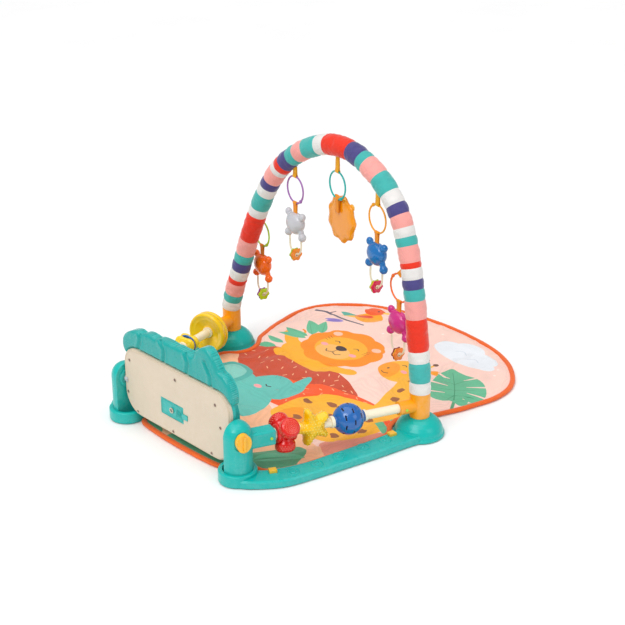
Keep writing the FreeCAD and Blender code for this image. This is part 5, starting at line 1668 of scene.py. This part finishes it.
def crest_surface(x, z, distance):
    """Puffed scallops above the cover, flat and slightly sunk behind it."""
    groove = np.full(len(x), 1e9)
    for line in GROOVES:
        groove = np.minimum(groove, edge_distance(line, x, z, closed=False))
    height = bulge(3.6, 8.5)(x, z, distance)
    height = (height - 3.4 * np.exp(-(groove / 2.3) ** 2)
              + 0.9 * np.exp(-((groove - 5.4) / 2.6) ** 2))
    ridges = np.array([0.26 * noise_at(a / 3.0, b / 40.0, 6.0) for a, b in zip(x, z)])
    height = np.maximum(height + ridges * (distance > 3), -0.3) + 0.3
    clear = np.where(inside(COVER, x, z), 0.0, edge_distance(COVER, x, z))
    blend = np.clip(clear / 4.0, 0.0, 1.0)
    blend = blend * blend * (3 - 2 * blend)
    return -0.25 * (1 - blend) + blend * height


def make_crest():
    outline = resample(catmull(CREST_TOP, False, 4) + CREST_BASE, 2.2)
    shell = closed_puff(outline, 2.2, crest_surface, bulge(-1.9, 5.0, -11.2),
                        outward_frame(0, PIANO_Y, 0))
    attach(mesh("crest_shell", *shell, [SOLID["teal_crest"]]), "piano", slot="teal_plastic")


def upright_bead(outline, y, radius, sides):
    """Round bead along an (x, z) outline at one y."""
    path = [Vector((x, y, z)) for x, z in outline]
    return sweep(path, Y, disc_section(radius, sides), closed=True)


def make_cover_trim():
    outline = resample(rounded_box(*COVER_SHAPE, inset=3.2), 3.0)
    rim = Parts().add(upright_bead(outline, -315.5, 0.75, 10))
    attach(rim.build("cover_rim", SOLID["cream"]), "piano", slot="cream_plastic")
    collars = Parts()
    for x, z in COVER_SCREWS:
        collars.add(lathe([(2.75, 0.0), (3.5, 0.0), (3.7, 0.35), (3.5, 0.6), (2.75, 0.6)], 30),
                    at=outward_frame(x, -315.3, z))
    attach(collars.build("cover_screw_collars", SOLID["cream"]), "piano", slot="cream_plastic")


def make_door_trim():
    """Five upright ribs and a border on the battery door, and a dish round its screw."""
    door_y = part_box("battery_door")[0].y / MM
    relief = Parts()
    for k in range(5):
        relief.add(ellipsoid((DOOR_X + 12 + 3.2 * k, door_y - 0.05, DOOR_Z),
                             (0.55, 0.5, 7.5 - 0.4 * k), 10, 10))
    border = resample(rounded_box(25.8, DOOR_Z - 12.0, DOOR_Z + 12.0, 3, 3), 2.0)
    relief.add(upright_bead([(DOOR_X + x, z) for x, z in border], door_y, 0.4, 8))
    attach(relief.build("door_relief", SOLID["teal"]), "battery_door", slot="teal_plastic")
    low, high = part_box("battery_screw")
    screw = (low + high) / 2 / MM
    dish = Parts().add(lathe([(2.9, 0.0), (4.2, 0.0), (4.7, 0.4), (4.4, 0.85), (3.3, 0.9),
                              (2.9, 0.5)], 36), at=outward_frame(screw.x, door_y - 0.02, screw.z))
    attach(dish.build("door_screw_dish", SOLID["cream"]), "battery_door", slot="cream_plastic")


def icon(kind, scale):
    if kind == "dot":
        return ellipse(0, 0, 7 * scale, 7 * scale, count=40)
    if kind == "star":
        tips = [((8.5, 4.2)[k % 2] * scale, pi / 2 + pi * k / 5) for k in range(10)]
        return resample([(radius * cos(a), radius * sin(a)) for radius, a in tips], 1.0)
    if kind == "heart":
        return [(0.52 * scale * 16 * sin(a) ** 3,
                 0.52 * scale * (13 * cos(a) - 5 * cos(2 * a) - 2 * cos(3 * a) - cos(4 * a)))
                for a in turns(56)][::-1]
    if kind == "drop":
        return [((6.2 * scale) * sin(a) * sin(a / 2) ** 1.2, 8.2 * scale * cos(a))
                for a in turns(48)][::-1]
    return resample([(-6.5 * scale, -6 * scale), (6.5 * scale, -6 * scale), (0, 7.5 * scale)], 1.0)


def key_block(low, high):
    """Box with rounded upright outline and a softened +Y face."""
    bm = bmesh.new()
    bmesh.ops.create_cube(bm, size=1.0)
    for vert in bm.verts:
        vert.co = Vector([(a + b) / 2 + u * (b - a) for a, b, u in zip(low, high, vert.co)])
    corners = [edge for edge in bm.edges if abs((edge.verts[0].co - edge.verts[1].co).y) > 5]
    bmesh.ops.bevel(bm, geom=corners, offset=7.0, segments=7, affect="EDGES", profile=0.5)
    front = [edge for edge in bm.edges
             if all(abs(vert.co.y - high.y) < 1e-3 for vert in edge.verts)]
    bmesh.ops.bevel(bm, geom=front, offset=2.4, segments=4, affect="EDGES", profile=0.6)
    bm.verts.index_update()
    block = ([vert.co.copy() for vert in bm.verts],
             [tuple(vert.index for vert in face.verts) for face in bm.faces])
    bm.free()
    return block


def make_keys():
    """Keys with a raised shape and three ribs on the +Y face."""
    for number, (rgb, kind) in enumerate(zip(KEY_COLOURS, KEY_ICONS), 1):
        node = "piano_key_%d" % number
        low, high = (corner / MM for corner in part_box(node))
        middle = (low.x + high.x) / 2
        key = Parts().add(key_block(low, high), srgb(*rgb))
        icon_frame = basis(Vector((middle, high.y, (low.z + high.z) / 2 + 6)), -X, Z, Y)
        key.add(closed_puff(icon(kind, 1.15), 1.6, bulge(1.0, 2.0), level(-0.8), icon_frame),
                srgb(255, 250, 240))
        for k in range(3):
            key.add(ellipsoid((middle, high.y, low.z + 9 + 4.2 * k), (11, 0.7, 0.9), 20, 8),
                    srgb(*rgb))
        attach(key.build("key_cap_%d" % number, SOLID["toy"]), "key_%d" % number, node)


make_crest()
make_cover_trim()
make_door_trim()
make_keys()

# ------------------------------------------------------------------ base
# x on the right rail, y and shape of each pictogram
PICTOGRAMS = [(198.9, -249.0, "dot"), (206.9, -206.2, "star"), (212.7, -165.4, "heart"),
              (220.2, -118.1, "drop"), (227.9, -76.9, "triangle")]
RAIL_TOP = 14.0


def make_pictograms():
    """Ringed shapes on top of both rails."""
    section = [(0.9 * cos(a), 1.35 * sin(a)) for a in turns(10)]
    parts = Parts()
    for side in (1, -1):
        for x, y, kind in PICTOGRAMS:
            pose = basis(Vector((side * x, y, RAIL_TOP)),
                         Vector((0.97, 0.24 * side, 0)).normalized(),
                         Vector((-0.24 * side, 0.97, 0)).normalized(), Z)
            ring = [pose @ Vector((9.6 * cos(a), 9.6 * sin(a), 0.0)) for a in turns(60)]
            parts.add(sweep(ring, Z, section, closed=True))
            parts.add(closed_puff(icon(kind, 0.66), 1.2, bulge(1.3, 1.3), level(-0.5), pose))
    attach(parts.build("rail_pictograms", SOLID["teal"]), "frame", slot="teal_plastic")


def make_detent_rings():
    """Ribbed ring between each post and the piano."""
    profile = [(8.4, 0.2), (15.2, 0.2), (16.0, 0.6), (16.0, 1.9), (15.2, 2.3), (8.4, 2.3)]
    parts = Parts()
    for side in (1, -1):
        parts.add(lathe(profile, 120, lambda a, r: 1.0 if r < 10 else 1 + 0.05 * cos(30 * a)),
                  at=basis(Vector((side * 134.6, PIANO_Y, 74.8)), Y, Z * side, X * -side))
    attach(parts.build("detent_rings", SOLID["teal"]), "frame", slot="teal_plastic")


make_pictograms()
make_detent_rings()


# ------------------------------------------------------------------ floor, light, camera
def make_floor():
    bm = bmesh.new()
    bmesh.ops.create_grid(bm, x_segments=2, y_segments=2, size=6.0)
    data = bpy.data.meshes.new("floor")
    bm.to_mesh(data)
    bm.free()
    floor = link(data, "floor")
    floor.location.z = -0.0003
    shader = Shader("floor_paper")
    tone = shader.remap(shader.noise(scale=3), (0.3, 0.7), (0, 1))
    shader.surface({"Base Color": shader.mix(tone, (0.93, 0.93, 0.93, 1), (0.96, 0.96, 0.96, 1)),
                    "Roughness": 0.9, "Specular IOR Level": 0.1})
    data.materials.append(shader.material)


def make_world():
    """White surroundings that light the scene less than the camera sees."""
    ambient, visible = 0.46, 1.0
    world = bpy.data.worlds.new("studio")
    world.use_nodes = True
    tree = world.node_tree
    background = tree.nodes["Background"]
    background.inputs[0].default_value = (1.0, 1.0, 1.0, 1)
    background.inputs[1].default_value = ambient
    rays = tree.nodes.new("ShaderNodeLightPath")
    strength = tree.nodes.new("ShaderNodeMapRange")
    strength.inputs[3].default_value = ambient
    strength.inputs[4].default_value = visible
    tree.links.new(rays.outputs["Is Camera Ray"], strength.inputs[0])
    tree.links.new(strength.outputs[0], background.inputs[1])
    scene.world = world


def aim(direction):
    return Vector(direction).to_track_quat("-Z", "Y").to_euler()


def sun(name, direction, energy, spread):
    data = bpy.data.lights.new(name, "SUN")
    data.energy = energy
    data.angle = radians(spread)
    link(data, name).rotation_euler = aim(direction)


def area_light(name, location, target, size, energy):
    data = bpy.data.lights.new(name, "AREA")
    data.shape = "DISK"
    data.size = size
    data.energy = energy
    lamp = link(data, name)
    lamp.location = location
    lamp.rotation_euler = aim(Vector(target) - Vector(location))


def make_camera():
    data = bpy.data.cameras.new("camera")
    data.lens = 77.28
    data.sensor_width = 36.0
    data.clip_start = 0.01
    camera = link(data, "camera")
    camera.location = (1.4959, -1.4476, 1.0692)
    camera.rotation_euler = aim(Vector((0.0682, -0.0834, 0.1859)) - Vector(camera.location))
    scene.camera = camera


make_floor()
make_world()
sun("overhead", direction=(0.12, 0.10, -1.0), energy=1.35, spread=70)
sun("front", direction=(-0.25, 0.85, -1.0), energy=0.75, spread=35)
area_light("key", location=(0.3, -1.7, 2.0), target=(0, -0.05, 0.15), size=0.9, energy=6)
area_light("fill", location=(2.2, 0.4, 1.3), target=(0, 0, 0.2), size=1.2, energy=5)
make_camera()
scene.view_settings.view_transform = "Standard"
scene.view_settings.look = "None"
